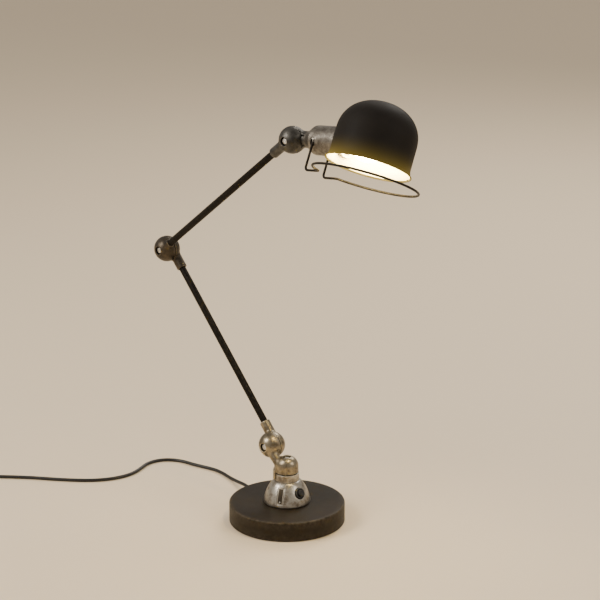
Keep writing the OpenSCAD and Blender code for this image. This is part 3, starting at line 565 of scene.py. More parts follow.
def turretField(p):
    d = turretSet
    r, z = np.hypot(p[..., 0], p[..., 1]), p[..., 2]
    top = d["floor"] + d["side"]
    dome = [(d["r"] * math.cos(math.radians(a)) ** d["power"], top + d["dome"] * math.sin(math.radians(a)))
            for a in range(0, 90, 6)]
    cap = outlineField(r, z, [(0, d["floor"]), (d["r"], d["floor"])] + dome + [(0, top + d["dome"])])
    angle = np.arctan2(p[..., 1], -p[..., 0])
    wing = (np.abs(angle) - math.radians(70)) * r
    skirt = np.maximum(outlineField(r, z, [(d["skirtIn"], d["skirtFoot"]),
                                           (d["skirtIn"] + d["skirtT"], d["skirtFoot"]),
                                           (d["skirtIn"] + d["skirtT"], d["floor"] + 4), (18, top + 5),
                                           (16, top + 5), (16, d["floor"] + 0.5),
                                           (d["skirtIn"], d["floor"] + 0.5)]),
                       wing)
    f = add(cap, skirt, 3.0)
    q = p - shoulder
    a, y = along(d["slope"]), np.array([0, -armSet["offset"], 0])
    stub = barField(q, a * 13 + y, a * d["stub"] + y, d["stubR"], 1.0)
    ball = hollowBall(q, -1, stub, otherSide(q, -1))
    f = add(f, ball, 3.0)
    # The other half of the ball turns here
    f = np.maximum(f, -barField(q, (0, -0.15, 0), (0, 30, 0), 23.4, 0.1))
    f = cut(f, barField(p, (0, 0, 60), (0, 0, d["floor"]), d["skirtIn"], 0.1), 0.3)
    spigot = barField(p, (0, 0, 76), (0, 0, d["floor"] + 2), d["spigotR"], 0.4)
    f = np.minimum(f, spigot)
    f = cut(f, barField(p, (0, 0, 60), (0, 0, d["seat"] - 4), 12.5, 1.0), 0.4)
    f = cut(f, barField(p, (0, 0, d["seat"]), (0, 0, 140), d["boltR"], 0.4), 1.2)
    return cut(f, barField(p, (0, 0, 60), (0, 0, 140), 4.05, 0.1), 0.3)


turret = casting("turret", turretField, *nodeBox("turret_casting"), turretSet["cell"], "turret",
                 "raw_casting",
                 ["turret_casting"])
lowerKnuckle = makeKnuckle("shoulderKnuckle", shoulder, 1, armSet["lower"], armSet["sleeveR"],
                           armSet["sleeve"],
                           "lower_arm", "raw_casting", "shoulder_knuckle")
# The elbow halves take the darker casting copy, which is painted shade
makeKnuckle("elbowSocket", elbow, 1, armSet["lower"] + 180, armSet["sleeveR"], armSet["sleeve"],
            "lower_arm", "dark_casting", "elbow_socket")
makeKnuckle("elbowKnuckle", elbow, -1, armSet["upper"], armSet["collarR"], armSet["collar"],
            "upper_arm", "dark_casting", "elbow_knuckle")
# The wrist halves take the dark grey casting copy, which is painted shade
makeKnuckle("wristSocket", wrist, -1, armSet["upper"] + 180, armSet["sleeveR"], armSet["sleeve"],
            "upper_arm", "gunmetal_casting", "wrist_socket")


def makeTube(name, at, slope, side, body, node):
    d = armSet
    a = along(slope)
    far = d["length"] - d["start"]
    ring = rounded([(d["tubeR"] - d["tubeWall"], d["start"], 0.3), (d["tubeR"], d["start"], 0.3),
                    (d["tubeR"], far, 0.3), (d["tubeR"] - d["tubeWall"], far, 0.3)], closed=True, steps=3)
    points, faces = turned(ring, at + np.array([0, side * d["offset"], 0]), turnTo((0, 1, 0), a), sides=64,
                           closed=True)
    return addPiece(name, points, faces, body, "tube_black", [node])


makeTube("lowerTube", shoulder, armSet["lower"], 1, "lower_arm", "lower_tube")
makeTube("upperTube", elbow, armSet["upper"], -1, "upper_arm", "upper_tube")

screwSet = {"headR": 4.8, "head": 5, "r": 2.5, "slotW": 1.1, "slotDeep": 1.2, "end": 19.3, "dome": 14,
            "cell": 0.28,
            "room": 0.4}


def makeScrew(name, at, turn, body, nodes):
    # Slotted screw along Y, with its domed head on the -Y side
    d, seat = screwSet, -ballSet["recessAt"]
    c, s = math.cos(math.radians(turn)), math.sin(math.radians(turn))

    def field(p):
        q = p - at
        f = barField(q, (0, seat - d["head"], 0), (0, seat, 0), d["headR"], 0.5)
        f = np.maximum(f, ballField(q, (0, seat - d["head"] + d["dome"], 0), d["dome"]))
        f = add(f, barField(q, (0, seat - 0.5, 0), (0, d["end"], 0), d["r"], 0.4), 0.3)
        across = np.abs(q[..., 0] * c + q[..., 2] * s) - d["slotW"] / 2
        return cut(f, np.maximum(across, q[..., 1] - (seat - d["head"] + d["slotDeep"])), 0.2)

    wide, top = d["headR"] + d["room"], seat - d["head"] - d["room"]
    return casting(name, field, at + [-wide, top, -wide], at + [wide, d["end"] + d["room"], wide], d["cell"],
                   body, "bright_steel", nodes)


makeScrew("shoulderScrew", shoulder, 25, "turret", ["shoulder_screw"])
makeScrew("elbowScrew", elbow, -40, "upper_arm", ["upper_screws"])
makeScrew("wristScrew", wrist, 70, "upper_arm", [])


def makeBolt():
    d = {"seat": turretSet["seat"], "headR": 5, "head": 5, "r": 4, "hex": 2.2, "deep": 2.5, "cell": 0.35}
    low = nodeBox("turret_bolt")[0][2]

    def field(p):
        f = barField(p, (0, 0, d["seat"]), (0, 0, d["seat"] + d["head"]), d["headR"], 0.7)
        f = add(f, barField(p, (0, 0, low), (0, 0, d["seat"] + 0.5), d["r"], 0.5), 0.3)
        sides = [np.abs(p[..., 0] * math.cos(math.radians(a)) + p[..., 1] * math.sin(math.radians(a)))
                 for a in (0, 60, 120)]
        socket = np.maximum(np.max(sides, axis=0) - d["hex"], d["seat"] + d["head"] - d["deep"] - p[..., 2])
        return cut(f, socket, 0.25)

    return casting("turretBolt", field, *nodeBox("turret_bolt"), d["cell"], "turret", "bright_steel",
                   ["turret_bolt"])


makeBolt()

# --- head: everything here is placed along the lamp holder's axis and the shade's axis

headSet = {"pitch": 5.9, "roll": 28.4, "offset": 10.5}
pitch, roll = math.radians(headSet["pitch"]), math.radians(headSet["roll"])
ahead = np.array(joint["shade_twist"]["axis"], float)
level = np.array([-math.sin(pitch), 0, math.cos(pitch)])
upward = math.cos(roll) * level + math.sin(roll) * np.array([0, 1, 0])
aside = np.cross(upward, ahead)
headTurn = np.stack([ahead, aside, upward], axis=1)
headAxis = turnTo(aside, ahead)  # for pieces turned about the holder's axis
shadeSet = {"r": 66, "flare": 4, "flareH": 15, "from": 50, "dome": 58, "power": 2.15, "t": 1.2, "at": 173.5,
            "drop": 39.9, "bead": 1.1, "socketR": 20.1}
neckSet = {"r": 13.8, "seam": 28, "shaftR": 8, "shaftEnd": 48.4, "bore": 4}
holderSet = {"r": 24.5, "full": 48, "wall": 3.9, "back": 28.4, "cavity": 45, "gap": 0.1, "legAt": 60.2,
             "legSide": 21.7, "legR": 2.05, "lugR": 4.0, "cell": 0.9}


def inHead(q):
    return headAt + np.asarray(q, float) @ headTurn.T


def neckField(p):
    d = neckSet
    q = p - wrist
    y = np.array([0, headSet["offset"], 0])
    neck = barField(q, ahead * 9 + y, ahead * d["seam"] + y, d["r"], 0.8)
    away = np.maximum(otherSide(q, 1), ballField(q, (0, 0, 0), ballSet["r"] + 0.4))
    f = hollowBall(q, 1, neck, away)
    f = np.minimum(f, barField(q, ahead * 26 + y, ahead * d["shaftEnd"] + y, d["shaftR"], 0.5))
    return cut(f, barField(q, ahead * 10.2 + y, ahead * 80 + y, d["bore"], 0.1), 0.3)


# The wrist's neck half takes the dark grey casting copy, which is painted shade
casting("wristNeck", neckField, *nodeBox("wrist_neck"), ballSet["cell"], "neck",
        "gunmetal_casting", ["wrist_neck"])

holderOutline = [(h, r) for r, h in rounded(
    [(0, holderSet["back"], 0), (14.4, holderSet["back"], 0.8), (15.4, 33.5, 5), (21.4, 43.5, 4),
     (holderSet["r"], 49, 5), (holderSet["r"], shadeSet["at"], 0)], steps=8)]


def holderField(p):
    d = holderSet
    q = (p - headAt) @ headTurn
    r, h = np.hypot(q[..., 1], q[..., 2]), q[..., 0]
    f = outlineField(r, h, [(r0, h0) for h0, r0 in holderOutline] + [(0, shadeSet["at"])])
    for side in (-1, 1):  # small lugs take the guard's legs
        leg = np.array([d["legAt"], side * d["legSide"], 0])
        f = add(f, barField(q, leg + [0, 0, -16], leg + [0, 0, -4], d["lugR"], 1.2), 3.5)
    f = cut(f, np.maximum(r - d["r"] + d["wall"], d["cavity"] - h), 0.5)
    f = cut(f, np.maximum(r - neckSet["shaftR"] - 0.05, h - d["cavity"] - 2), 0.3)
    saddle = np.hypot(q[..., 0] - shadeSet["at"], q[..., 1]) - shadeSet["r"] - d["gap"]
    f = cut(f, np.minimum(saddle, shadeSet["at"] - h), 1.0)
    for side in (-1, 1):
        f = cut(f, barField(q, (d["legAt"], side * d["legSide"], -60),
                            (d["legAt"], side * d["legSide"], -4.6),
                            d["legR"], 0.1), 0.3)
    return f


casting("lampHolder", holderField, *nodeBox("lamp_holder"), holderSet["cell"], "head",
        "holder_casting", ["lamp_holder"])


def shadeSide(inset):
    # The shade's skin from its rim to its apex
    d = shadeSet
    flare = [(d["r"] - inset + d["flare"] * (1 - t) ** 2, d["flareH"] * t)
             for t in (i / 12 for i in range(13))]
    angles = [math.pi / 2 * i / 40 for i in range(40)]
    dome = [((d["r"] - inset) * math.cos(a) ** (2 / d["power"]),
             d["from"] + (d["dome"] - inset) * math.sin(a) ** (2 / d["power"])) for a in angles]
    wall = [(d["r"] - inset, d["flareH"] + (d["from"] - d["flareH"]) * k / 4) for k in (1, 2, 3)]
    return flare + wall + dome + [(0, d["from"] + d["dome"] - inset)]


def cutRound(piece, origin, axis, r, length):
    # Cuts a round hole through a piece
    points, faces = turned([(0, 0), (r, 0), (r, length), (0, length)], origin, axis, sides=96)
    mesh = bpy.data.meshes.new("cutter")
    mesh.from_pydata((points * mm).tolist(), [], faces)
    cutter = bpy.data.objects.new("cutter", mesh)
    bpy.context.scene.collection.objects.link(cutter)
    change = piece.modifiers.new("hole", "BOOLEAN")
    change.operation, change.solver, change.object = "DIFFERENCE", "EXACT", cutter
    bpy.context.view_layer.update()
    cutMesh = bpy.data.meshes.new_from_object(piece.evaluated_get(bpy.context.evaluated_depsgraph_get()))
    piece.modifiers.remove(change)
    piece.data = cutMesh
    piece.data.name = piece.name
    bpy.data.objects.remove(cutter)


def makeShade():
    d = shadeSet
    origin = inHead((d["at"], 0, -d["drop"]))
    outer, inner = shadeSide(0), shadeSide(d["t"])
    bead = []  # rolled rim, from the inner skin round to the outer one
    middle = (d["r"] + d["flare"] - d["t"] * 0.3, 0.9)
    for k in range(13):
        a = math.radians(150 + 250 * k / 12)
        bead.append((middle[0] + d["bead"] * math.cos(a), middle[1] + d["bead"] * math.sin(a)))
    split = 0.55 * d["t"]
    shell = [q for q in outer if q[1] > 1.6]
    lining = [q for q in inner if q[1] > 1.6]
    half = shadeSide(split)
    between = [q for q in half if q[1] > 1.6]
    points, faces = turned(bead + shell + [q for q in reversed(between)], origin, headTurn, sides=160,
                           closed=True)
    outside = addPiece("shade", points, faces, "head", "shade_enamel", ["shade"])
    points, faces = turned(lining + [(q[0], q[1]) for q in reversed(shadeSide(split - 0.02)) if q[1] > 1.6],
                           origin, headTurn, sides=160, closed=True)
    lined = addPiece("shadeLining", points, faces, "head", "porcelain")
    for piece in (outside, lined):
        cutRound(piece, inHead((60, 0, 0)), headAxis, d["socketR"], 80)
    return outside, lined


shade, lining = makeShade()
print("stage: shade")

guardSet = {"r": 86.7, "wire": 2, "drop": 59.8, "shift": 2, "lean": 2.3, "sideLean": 2.3, "top": -5,
            "bend": 6}


def guardPoint(angle):
    d = guardSet
    a, b, t = math.radians(d["lean"]), math.radians(d["sideLean"]), math.radians(angle)
    x, y = d["r"] * math.cos(t), d["r"] * math.sin(t)
    y, z = y * math.cos(b), y * math.sin(b)
    return np.array([shadeSet["at"] + d["shift"] + x * math.cos(a) + z * math.sin(a), y,
                     -d["drop"] - x * math.sin(a) + z * math.cos(a)])


def bent(corners, radius, steps=8):
    # Straight stretches joined by arcs
    out = [np.array(corners[0], float)]
    for before, here, after in zip(corners, corners[1:], corners[2:]):
        here = np.array(here, float)
        u, v = np.array(before, float) - here, np.array(after, float) - here
        u, v = u / np.linalg.norm(u), v / np.linalg.norm(v)
        half = math.acos(max(-1, min(1, float(u @ v)))) / 2
        reach = radius / math.tan(half)
        middle = here + (u + v) / np.linalg.norm(u + v) * radius / math.sin(half)
        a, b = here + u * reach - middle, here + v * reach - middle
        turn = math.pi - 2 * half
        b = b - a * (a @ b) / (a @ a)
        b = b / np.linalg.norm(b) * np.linalg.norm(a)
        out += [middle + a * math.cos(turn * k / steps) + b * math.sin(turn * k / steps)
                for k in range(steps + 1)]
    return out + [np.array(corners[-1], float)]


def makeGuard():
    d = guardSet
    opening = math.degrees(math.asin(holderSet["legSide"] / d["r"]))
    first, last = 180 + opening, 540 - opening
    ring = [guardPoint(first + (last - first) * k / 150) for k in range(151)]
    ends = []
    for end, beyond, side in ((ring[0], ring[4], -1), (ring[-1], ring[-5], 1)):
        legTop = np.array([holderSet["legAt"], side * holderSet["legSide"], d["top"]])
        corner = np.array([holderSet["legAt"], side * holderSet["legSide"], end[2] - 0.5])
        ends.append(bent([legTop, corner, end, beyond], d["bend"]))
    path = ends[0][:-1] + ring[4:-4] + ends[1][:-1][::-1]
    points, faces = swept(path, d["wire"], sides=14)
    return addPiece("guard", inHead(points), faces, "head", "wire_black", ["guard_ring"], sharp=50)


guard = makeGuard()

bulbSet = {"r": 30, "at": 162, "from": 116.4, "capR": 13.2, "capFrom": 77.4, "thread": 0.55, "turns": 7}


def makeBulb():
    d = bulbSet
    glass = rounded([(0, d["from"], 0), (12.6, d["from"], 1.5), (13.6, d["from"] + 12, 24),
                     (22, d["at"] - 20.4, 0)], steps=10)
    first = math.atan2(-20.4, 22)
    glass += [(d["r"] * math.cos(a), d["at"] + d["r"] * math.sin(a))
              for a in (first + (math.pi / 2 - first) * k / 28 for k in range(1, 28))]
    points, faces = turned(glass + [(0, d["at"] + d["r"])], headAt, headAxis, sides=96)
    globe = addPiece("bulb", points, faces, "head", "bulb_glass", ["bulb_glass"])
    cap = [(0, d["capFrom"]), (4, d["capFrom"]), (5.2, d["capFrom"] + 0.8), (9, d["capFrom"] + 3)]
    start, end = d["capFrom"] + 4, d["from"] - 1
    cap += [(d["capR"] - d["thread"] - 0.2 + d["thread"] * math.sin(2 * math.pi * d["turns"] * k / 84),
             start + (end - start) * k / 84) for k in range(85)]
    points, faces = turned(cap + [(12.2, end + 1), (0, end + 1)], headAt, headAxis, sides=72)
    addPiece("bulbCap", points, faces, "head", "brass", ["bulb_cap"])
    return globe


bulb = makeBulb()

# --- cord fittings: strain relief, tie and plug

reliefSet = {"from": 90, "plug": 3.95, "flange": 6, "flangeT": 3, "r1": 5.6, "r2": 3.9, "ribs": 6,
             "ribDeep": 0.6}


def makeRelief():
    d, c = reliefSet, cordSet
    turn = turnTo((0, 0, 1), cordOut)
    tip = c["baseR"] + c["relief"]
    start = c["baseR"] + 0.2 + d["flangeT"]
    outline = rounded([(3.05, d["from"], 0), (d["plug"], d["from"], 0.4), (d["plug"], c["baseR"] + 0.2, 0),
                       (d["flange"], c["baseR"] + 0.2, 0.5), (d["flange"], start, 1.1),
                       (d["r1"] - 0.4, start, 0)])
    pitch = (tip - 2 - start) / d["ribs"]
    for k in range(d["ribs"] * 12 + 1):
        t = k / (d["ribs"] * 12)
        wave = max(0.0, math.sin(2 * math.pi * t * d["ribs"])) ** 0.5
        outline.append((d["r1"] + (d["r2"] - d["r1"]) * t - d["ribDeep"] * wave,
                        start + 0.1 + t * d["ribs"] * pitch))
    outline += rounded([outline[-1] + (0,), (d["r2"], tip, 0.6), (3.05, tip, 0)])[1:]
    points, faces = turned(outline, (0, 0, c["height"]), turn, sides=48, closed=True)
    return addPiece("cordRelief", points, faces, "base", "cord_jacket", ["cord_relief"])


relief = makeRelief()


def makePlug():
    d = {"r": 9, "flat": 8, "neck": 4.2, "length": 40, "pinR": 2, "pinAt": 4.5, "pin": 19, "cell": 0.45}
    at = np.array(cordTail[-1], float)

    def field(p):
        q = p - at
        f = barField(q, (0, 0, 0), (16, 0, 0), d["neck"], 0.6, r2=d["r"] - 0.6)
        head = np.maximum(barField(q, (14, 0, 0), (d["length"], 0, 0), d["r"], 1.6),
                          np.abs(q[..., 2]) - d["flat"])
        f = add(f, head, 2.5)
        for x in (19, 22.5, 26, 29.5):  # grip ribs on its sides
            rib = np.hypot(q[..., 0] - x, np.abs(q[..., 1]) - d["r"] - 0.3) - 1.0
            f = cut(f, rib, 0.5)
        for x in (4.5, 8, 11.5):
            f = cut(f, np.hypot(q[..., 0] - x, np.hypot(q[..., 1],
                                                        q[..., 2]) - d["neck"] - x * 0.3 - 0.6) - 0.9, 0.4)
        return f

    low, high = nodeBox("plug_body")
    body = casting("plug", field, low, high, d["cell"], "base", "black_plastic", ["plug_body"])
    pins = []
    for name, side in (("plugPinLeft", -1), ("plugPinRight", 1)):
        outline = rounded([(0, d["length"] - 2, 0), (d["pinR"], d["length"] - 2, 0.2),
                           (d["pinR"], d["length"] + d["pin"], 1.6), (0, d["length"] + d["pin"], 0)])
        points, faces = turned(outline, at + [0, side * d["pinAt"], 0], turnTo((0, 1, 0), (1, 0, 0)),
                               sides=32)
        pins.append(addPiece(name, points, faces, "base", "bright_steel", ["plug_pins"]))
    return [body] + pins


plugPieces = makePlug()


def makeTie():
    # Flat strap round the coil
    low, high = nodeBox("cord_tie")
    d = {"angle": 20, "t": 0.7, "width": 9, "inner": 22.4, "outer": 44.8, "low": 0.9, "high": 13.3,
         "cell": 0.4}
    a = math.radians(d["angle"])
    x, y = np.array([math.cos(a), math.sin(a), 0]), np.array([-math.sin(a), math.cos(a), 0])
    mid = np.array([*cordSet["coilMid"], 0])
    centre = mid + x * (d["inner"] + d["outer"]) / 2 + np.array([0, 0, (d["low"] + d["high"]) / 2])

    def field(p):
        q = np.stack([(p - centre) @ x, (p - centre) @ y, p[..., 2] - centre[2]], -1)
        half = np.array([(d["outer"] - d["inner"]) / 2, (d["high"] - d["low"]) / 2])
        e = np.abs(q[..., [0, 2]]) - half + 3.0
        loop = np.minimum(e.max(-1), 0) + np.linalg.norm(np.maximum(e, 0), axis=-1) - 3.0
        band = np.maximum(np.abs(loop - d["t"] / 2 + 0.05) - d["t"] / 2,
                          np.abs(q[..., 1]) - d["width"] / 2 + 0.2)
        return band - 0.1

    return casting("cordTie", field, low - 0.4, high + 0.4, d["cell"], "base", "black_plastic", ["cord_tie"])


tie = makeTie()
print("stage: cord fittings")

# --- finishes: groups hold what several materials share

def putter(tree):
    # Adds a node to a tree, with its inputs as values or as other nodes' sockets
    def put(kind, ins=None, **settings):
        node = tree.nodes.new(kind)
        for key, value in settings.items():
            setattr(node, key, value)
        for key, value in (ins or {}).items():
            if isinstance(value, bpy.types.NodeSocket):
                tree.links.new(value, node.inputs[key])
            else:
                node.inputs[key].default_value = value
        return node

    return put


def newGroup(name, inputs, outputs):
    group = bpy.data.node_groups.new(name, "ShaderNodeTree")
    for label, value in inputs.items():
        group.interface.new_socket(label, in_out="INPUT", socket_type="NodeSocketFloat").default_value = value
    for label in outputs:
        group.interface.new_socket(label, in_out="OUTPUT", socket_type="NodeSocketFloat")
    put = putter(group)
    return group, put, put("NodeGroupInput").outputs, put("NodeGroupOutput")


def calc(put, operation, a, b=0.0, clamp=False):
    return put("ShaderNodeMath", {0: a, 1: b}, operation=operation, use_clamp=clamp).outputs[0]


def spread(put, value, low, high, to=(0.0, 1.0)):
    return put("ShaderNodeMapRange", {"Value": value, "From Min": low, "From Max": high, "To Min": to[0],
                                      "To Max": to[1]}).outputs[0]


def noise(put, at, scale, detail=3.0, rough=0.55):
    return put("ShaderNodeTexNoise", {"Vector": at, "Scale": scale, "Detail": detail,
                                      "Roughness": rough}).outputs[0]


def makeCastSkin():
    # Sand-cast metal: fine grain, soft dents, small pits and a patchy patina
    group, put, given, out = newGroup("castSkin", {"Grain": 1.0, "Patina": 0.5},
                                      ["Height", "Patina", "Pits"])
    at = put("ShaderNodeTexCoord").outputs["Object"]
    fine = noise(put, at, calc(put, "MULTIPLY", given["Grain"], 1400.0), 4.0, 0.6)
    dents = noise(put, at, calc(put, "MULTIPLY", given["Grain"], 170.0), 3.0)
    cells = put("ShaderNodeTexVoronoi", {"Vector": at, "Scale": calc(put, "MULTIPLY", given["Grain"],
                                                                     620.0)})
    pits = calc(put, "MULTIPLY", spread(put, cells.outputs[0], 0.16, 0.04),
                spread(put, noise(put, at, 240.0), 0.48, 0.62))
    height = calc(put, "ADD", calc(put, "MULTIPLY", fine, 0.3), calc(put, "MULTIPLY", dents, 1.0))
    height = calc(put, "SUBTRACT", height, calc(put, "MULTIPLY", pits, 0.5))
    patch = calc(put, "ADD", calc(put, "MULTIPLY", noise(put, at, 85.0, 6.0, 0.65), 0.75),
                 calc(put, "MULTIPLY", noise(put, at, 520.0, 4.0, 0.7), 0.25))
    edge = calc(put, "SUBTRACT", 1.0, given["Patina"])
    patina = put("ShaderNodeMapRange", {"Value": patch, "From Min": calc(put, "SUBTRACT", edge, 0.14),
                                        "From Max": calc(put, "ADD", edge, 0.14)},
                                        interpolation_type="SMOOTHSTEP")
    for label, value in (("Height", height), ("Patina", patina.outputs[0]), ("Pits", pits)):
        group.links.new(value, out.inputs[label])
    return group


def makeEdgeWearAndHollowShade():
    # Where corners rub bright, on sharp ridges broken up, and painted shade that darkens the hollows
    group, put, given, out = newGroup("edgeWearAndHollowShade", {"Amount": 0.5, "Breakup": 1.0}, ["Mask", "PaintedHollowShade"])
    at = put("ShaderNodeTexCoord").outputs["Object"]
    point = put("ShaderNodeNewGeometry").outputs["Pointiness"]
    ridge = put("ShaderNodeMapRange", {"Value": point, "From Min": 0.505, "From Max": 0.56})
    broken = spread(put, noise(put, at, calc(put, "MULTIPLY", given["Breakup"], 260.0), 5.0, 0.7), 0.36,
                    0.62)
    mask = calc(put, "MULTIPLY", calc(put, "MULTIPLY", ridge.outputs[0], broken), given["Amount"],
                clamp=True)
    group.links.new(mask, out.inputs["Mask"])
    # Painted shade: darker where the surface is hollow
    group.links.new(spread(put, point, 0.492, 0.455), out.inputs["PaintedHollowShade"])
    return group


def makeDust():
    # Fine dust on what faces up
    group, put, given, out = newGroup("dust", {"Amount": 0.3}, ["Mask"])
    at = put("ShaderNodeTexCoord").outputs["Object"]
    facing = put("ShaderNodeSeparateXYZ", {0: put("ShaderNodeNewGeometry").outputs["Normal"]}).outputs[2]
    patch = spread(put, noise(put, at, 60.0, 6.0, 0.7), 0.35, 0.75)
    specks = spread(put, noise(put, at, 1700.0, 2.0), 0.6, 0.72)
    both = calc(put, "ADD", calc(put, "MULTIPLY", patch, 0.6), calc(put, "MULTIPLY", specks, 0.5))
    mask = calc(put, "MULTIPLY", calc(put, "MULTIPLY", spread(put, facing, 0.35, 0.95), both),
                given["Amount"],
                clamp=True)
    group.links.new(mask, out.inputs["Mask"])
    return group


def makePaintSkin():
    # Powder coat: orange peel, light mottling and stray specks
    group, put, given, out = newGroup("paintSkin", {"Peel": 1.0, "Specks": 0.3},
                                      ["Height", "Tone", "Specks"])
    at = put("ShaderNodeTexCoord").outputs["Object"]
    peel = noise(put, at, calc(put, "MULTIPLY", given["Peel"], 1500.0), 2.0)
    coarse = noise(put, at, calc(put, "MULTIPLY", given["Peel"], 420.0), 3.0)
    height = calc(put, "ADD", calc(put, "MULTIPLY", peel, 0.7), calc(put, "MULTIPLY", coarse, 0.5))
    tone = spread(put, noise(put, at, 38.0, 6.0, 0.62), 0.32, 0.7)
    dots = put("ShaderNodeTexVoronoi", {"Vector": at, "Scale": 430.0})
    specks = calc(put, "MULTIPLY", spread(put, dots.outputs[0], 0.13, 0.07),
                  spread(put, noise(put, at, 130.0, 2.0), 0.56, 0.66))
    specks = calc(put, "MULTIPLY", specks, given["Specks"], clamp=True)
    for label, value in (("Height", height), ("Tone", tone), ("Specks", specks)):
        group.links.new(value, out.inputs[label])
    return group


def makeScratches():
    # Fine hairlines in several directions, and soft smears
    group, put, given, out = newGroup("scratches", {"Scale": 1.0}, ["Height", "Smear"])
    at = put("ShaderNodeTexCoord").outputs["Object"]
    lines = None
    for turn in (0.4, 1.5, 2.6):
        warped = put("ShaderNodeMapping", {"Vector": at, "Rotation": (turn, turn * 0.7, turn * 1.3),
                                          "Scale": (60.0, 2600.0, 60.0)}).outputs[0]
        line = spread(put, put("ShaderNodeTexNoise", {"Vector": warped, "Scale": given["Scale"],
                                                      "Detail": 2.0})
                      .outputs[0], 0.64, 0.78)
        lines = line if lines is None else calc(put, "MAXIMUM", lines, line)
    for label, value in (("Height", lines), ("Smear", noise(put, at, 150.0, 5.0, 0.6))):
        group.links.new(value, out.inputs[label])
    return group


castSkin, edgeWearAndHollowShade, dustFall, paintSkin, scratches = (makeCastSkin(), makeEdgeWearAndHollowShade(), makeDust(),
                                                      makePaintSkin(),
                                                      makeScratches())


def newMaterial(name):
    material = bpy.data.materials.new(name)
    material.use_nodes = True
    tree = material.node_tree
    shader = next(n for n in tree.nodes if n.type == "BSDF_PRINCIPLED")
    return material, tree, putter(tree), shader


def use(put, group, **values):
    node = put("ShaderNodeGroup", node_tree=group)
    for key, value in values.items():
        node.inputs[key].default_value = value
    return node.outputs


def mixed(put, share, a, b):
    # Colour a where share is 0 and b where it is 1
    node = put("ShaderNodeMix", data_type="RGBA")
    node.inputs[0].default_value = 0.5
    for socket, value in ((node.inputs[0], share), (node.inputs[6], a), (node.inputs[7], b)):
        if isinstance(value, bpy.types.NodeSocket):
            node.id_data.links.new(value, socket)
        else:
            socket.default_value = (*value, 1.0) if isinstance(value, tuple) else value
    return node.outputs[2]


def bumped(put, tree, shader, height, strength, distance):
    bump = put("ShaderNodeBump", {"Height": height, "Strength": strength, "Distance": distance})
    tree.links.new(bump.outputs[0], shader.inputs["Normal"])


def castMetal(name, d):
    material, tree, put, shader = newMaterial(name)
    skin = use(put, castSkin, Grain=d["grain"], Patina=d["patina"])
    edges = use(put, edgeWearAndHollowShade, Amount=d["wear"], Breakup=1.0)
    wear, hollowShade = edges["Mask"], edges["PaintedHollowShade"]
    dust = use(put, dustFall, Amount=d["dust"])["Mask"]
    colour = mixed(put, skin["Patina"], d["bare"], d["aged"])
    colour = mixed(put, skin["Pits"], colour, d["pitAndHollowShade"])
    # Painted shade: the hollows are darkened towards the pit colour
    colour = mixed(put, hollowShade, colour, d["pitAndHollowShade"])
    colour = mixed(put, wear, colour, d["worn"])
    colour = mixed(put, dust, colour, (0.34, 0.3, 0.25))
    rough = spread(put, skin["Patina"], 0.0, 1.0, (d["rough"], d["roughAged"]))
    rough = calc(put, "SUBTRACT", rough, calc(put, "MULTIPLY", wear, 0.12))
    rough = calc(put, "ADD", rough, calc(put, "MULTIPLY", dust, 0.25), clamp=True)
    shader.inputs["Metallic"].default_value = d["metallic"]
    tree.links.new(colour, shader.inputs["Base Color"])
    tree.links.new(rough, shader.inputs["Roughness"])
    bumped(put, tree, shader, skin["Height"], d["bump"], 0.0006)
    return material


rawCasting = castMetal("rawCasting", {
    "bare": (0.43, 0.405, 0.355), "aged": (0.15, 0.122, 0.09), "pitAndHollowShade": (0.028, 0.022, 0.016),
    "worn": (0.8, 0.77, 0.7), "grain": 1.0, "patina": 0.46, "wear": 0.7, "dust": 0.05, "rough": 0.3,
    "roughAged": 0.46, "metallic": 0.95, "bump": 0.5})
# Copy of the raw casting made browner and warmer as painted warm lamplight
castingPaintedWarmLight = castMetal("castingPaintedWarmLight", {
    "bare": (0.30, 0.258, 0.185), "aged": (0.115, 0.092, 0.06), "pitAndHollowShade": (0.028, 0.022, 0.015),
    "worn": (0.78, 0.7, 0.54), "grain": 1.0, "patina": 0.48, "wear": 0.7, "dust": 0.05, "rough": 0.28,
    "roughAged": 0.44, "metallic": 0.95, "bump": 0.45})
# Darker copy of the casting: painted shade for the elbow, which sits out of the lamp's light
castingPaintedShade = castMetal("castingPaintedShade", {
    "bare": (0.085, 0.069, 0.05), "aged": (0.035, 0.029, 0.022), "pitAndHollowShade": (0.01, 0.008, 0.006),
    "worn": (0.3, 0.25, 0.18), "grain": 1.0, "patina": 0.5, "wear": 0.5, "dust": 0.06, "rough": 0.36,
    "roughAged": 0.46, "metallic": 0.85, "bump": 0.4})
# Dark grey copy of the casting: painted shade for the wrist, which sits in shadow above the shade
gunmetalCasting = castMetal("gunmetalCasting", {
    "bare": (0.095, 0.092, 0.084), "aged": (0.042, 0.04, 0.036), "pitAndHollowShade": (0.012, 0.011, 0.01),
    "worn": (0.3, 0.28, 0.25), "grain": 1.0, "patina": 0.5, "wear": 0.5, "dust": 0.06, "rough": 0.4,
    "roughAged": 0.5, "metallic": 0.85, "bump": 0.4})
holderCasting = castMetal("holderCasting", {
    "bare": (0.25, 0.23, 0.2), "aged": (0.1, 0.088, 0.074), "pitAndHollowShade": (0.03, 0.026, 0.02),
    "worn": (0.5, 0.46, 0.4), "grain": 1.15, "patina": 0.5, "wear": 0.5, "dust": 0.06, "rough": 0.38,
    "roughAged": 0.52, "metallic": 0.9, "bump": 0.65})


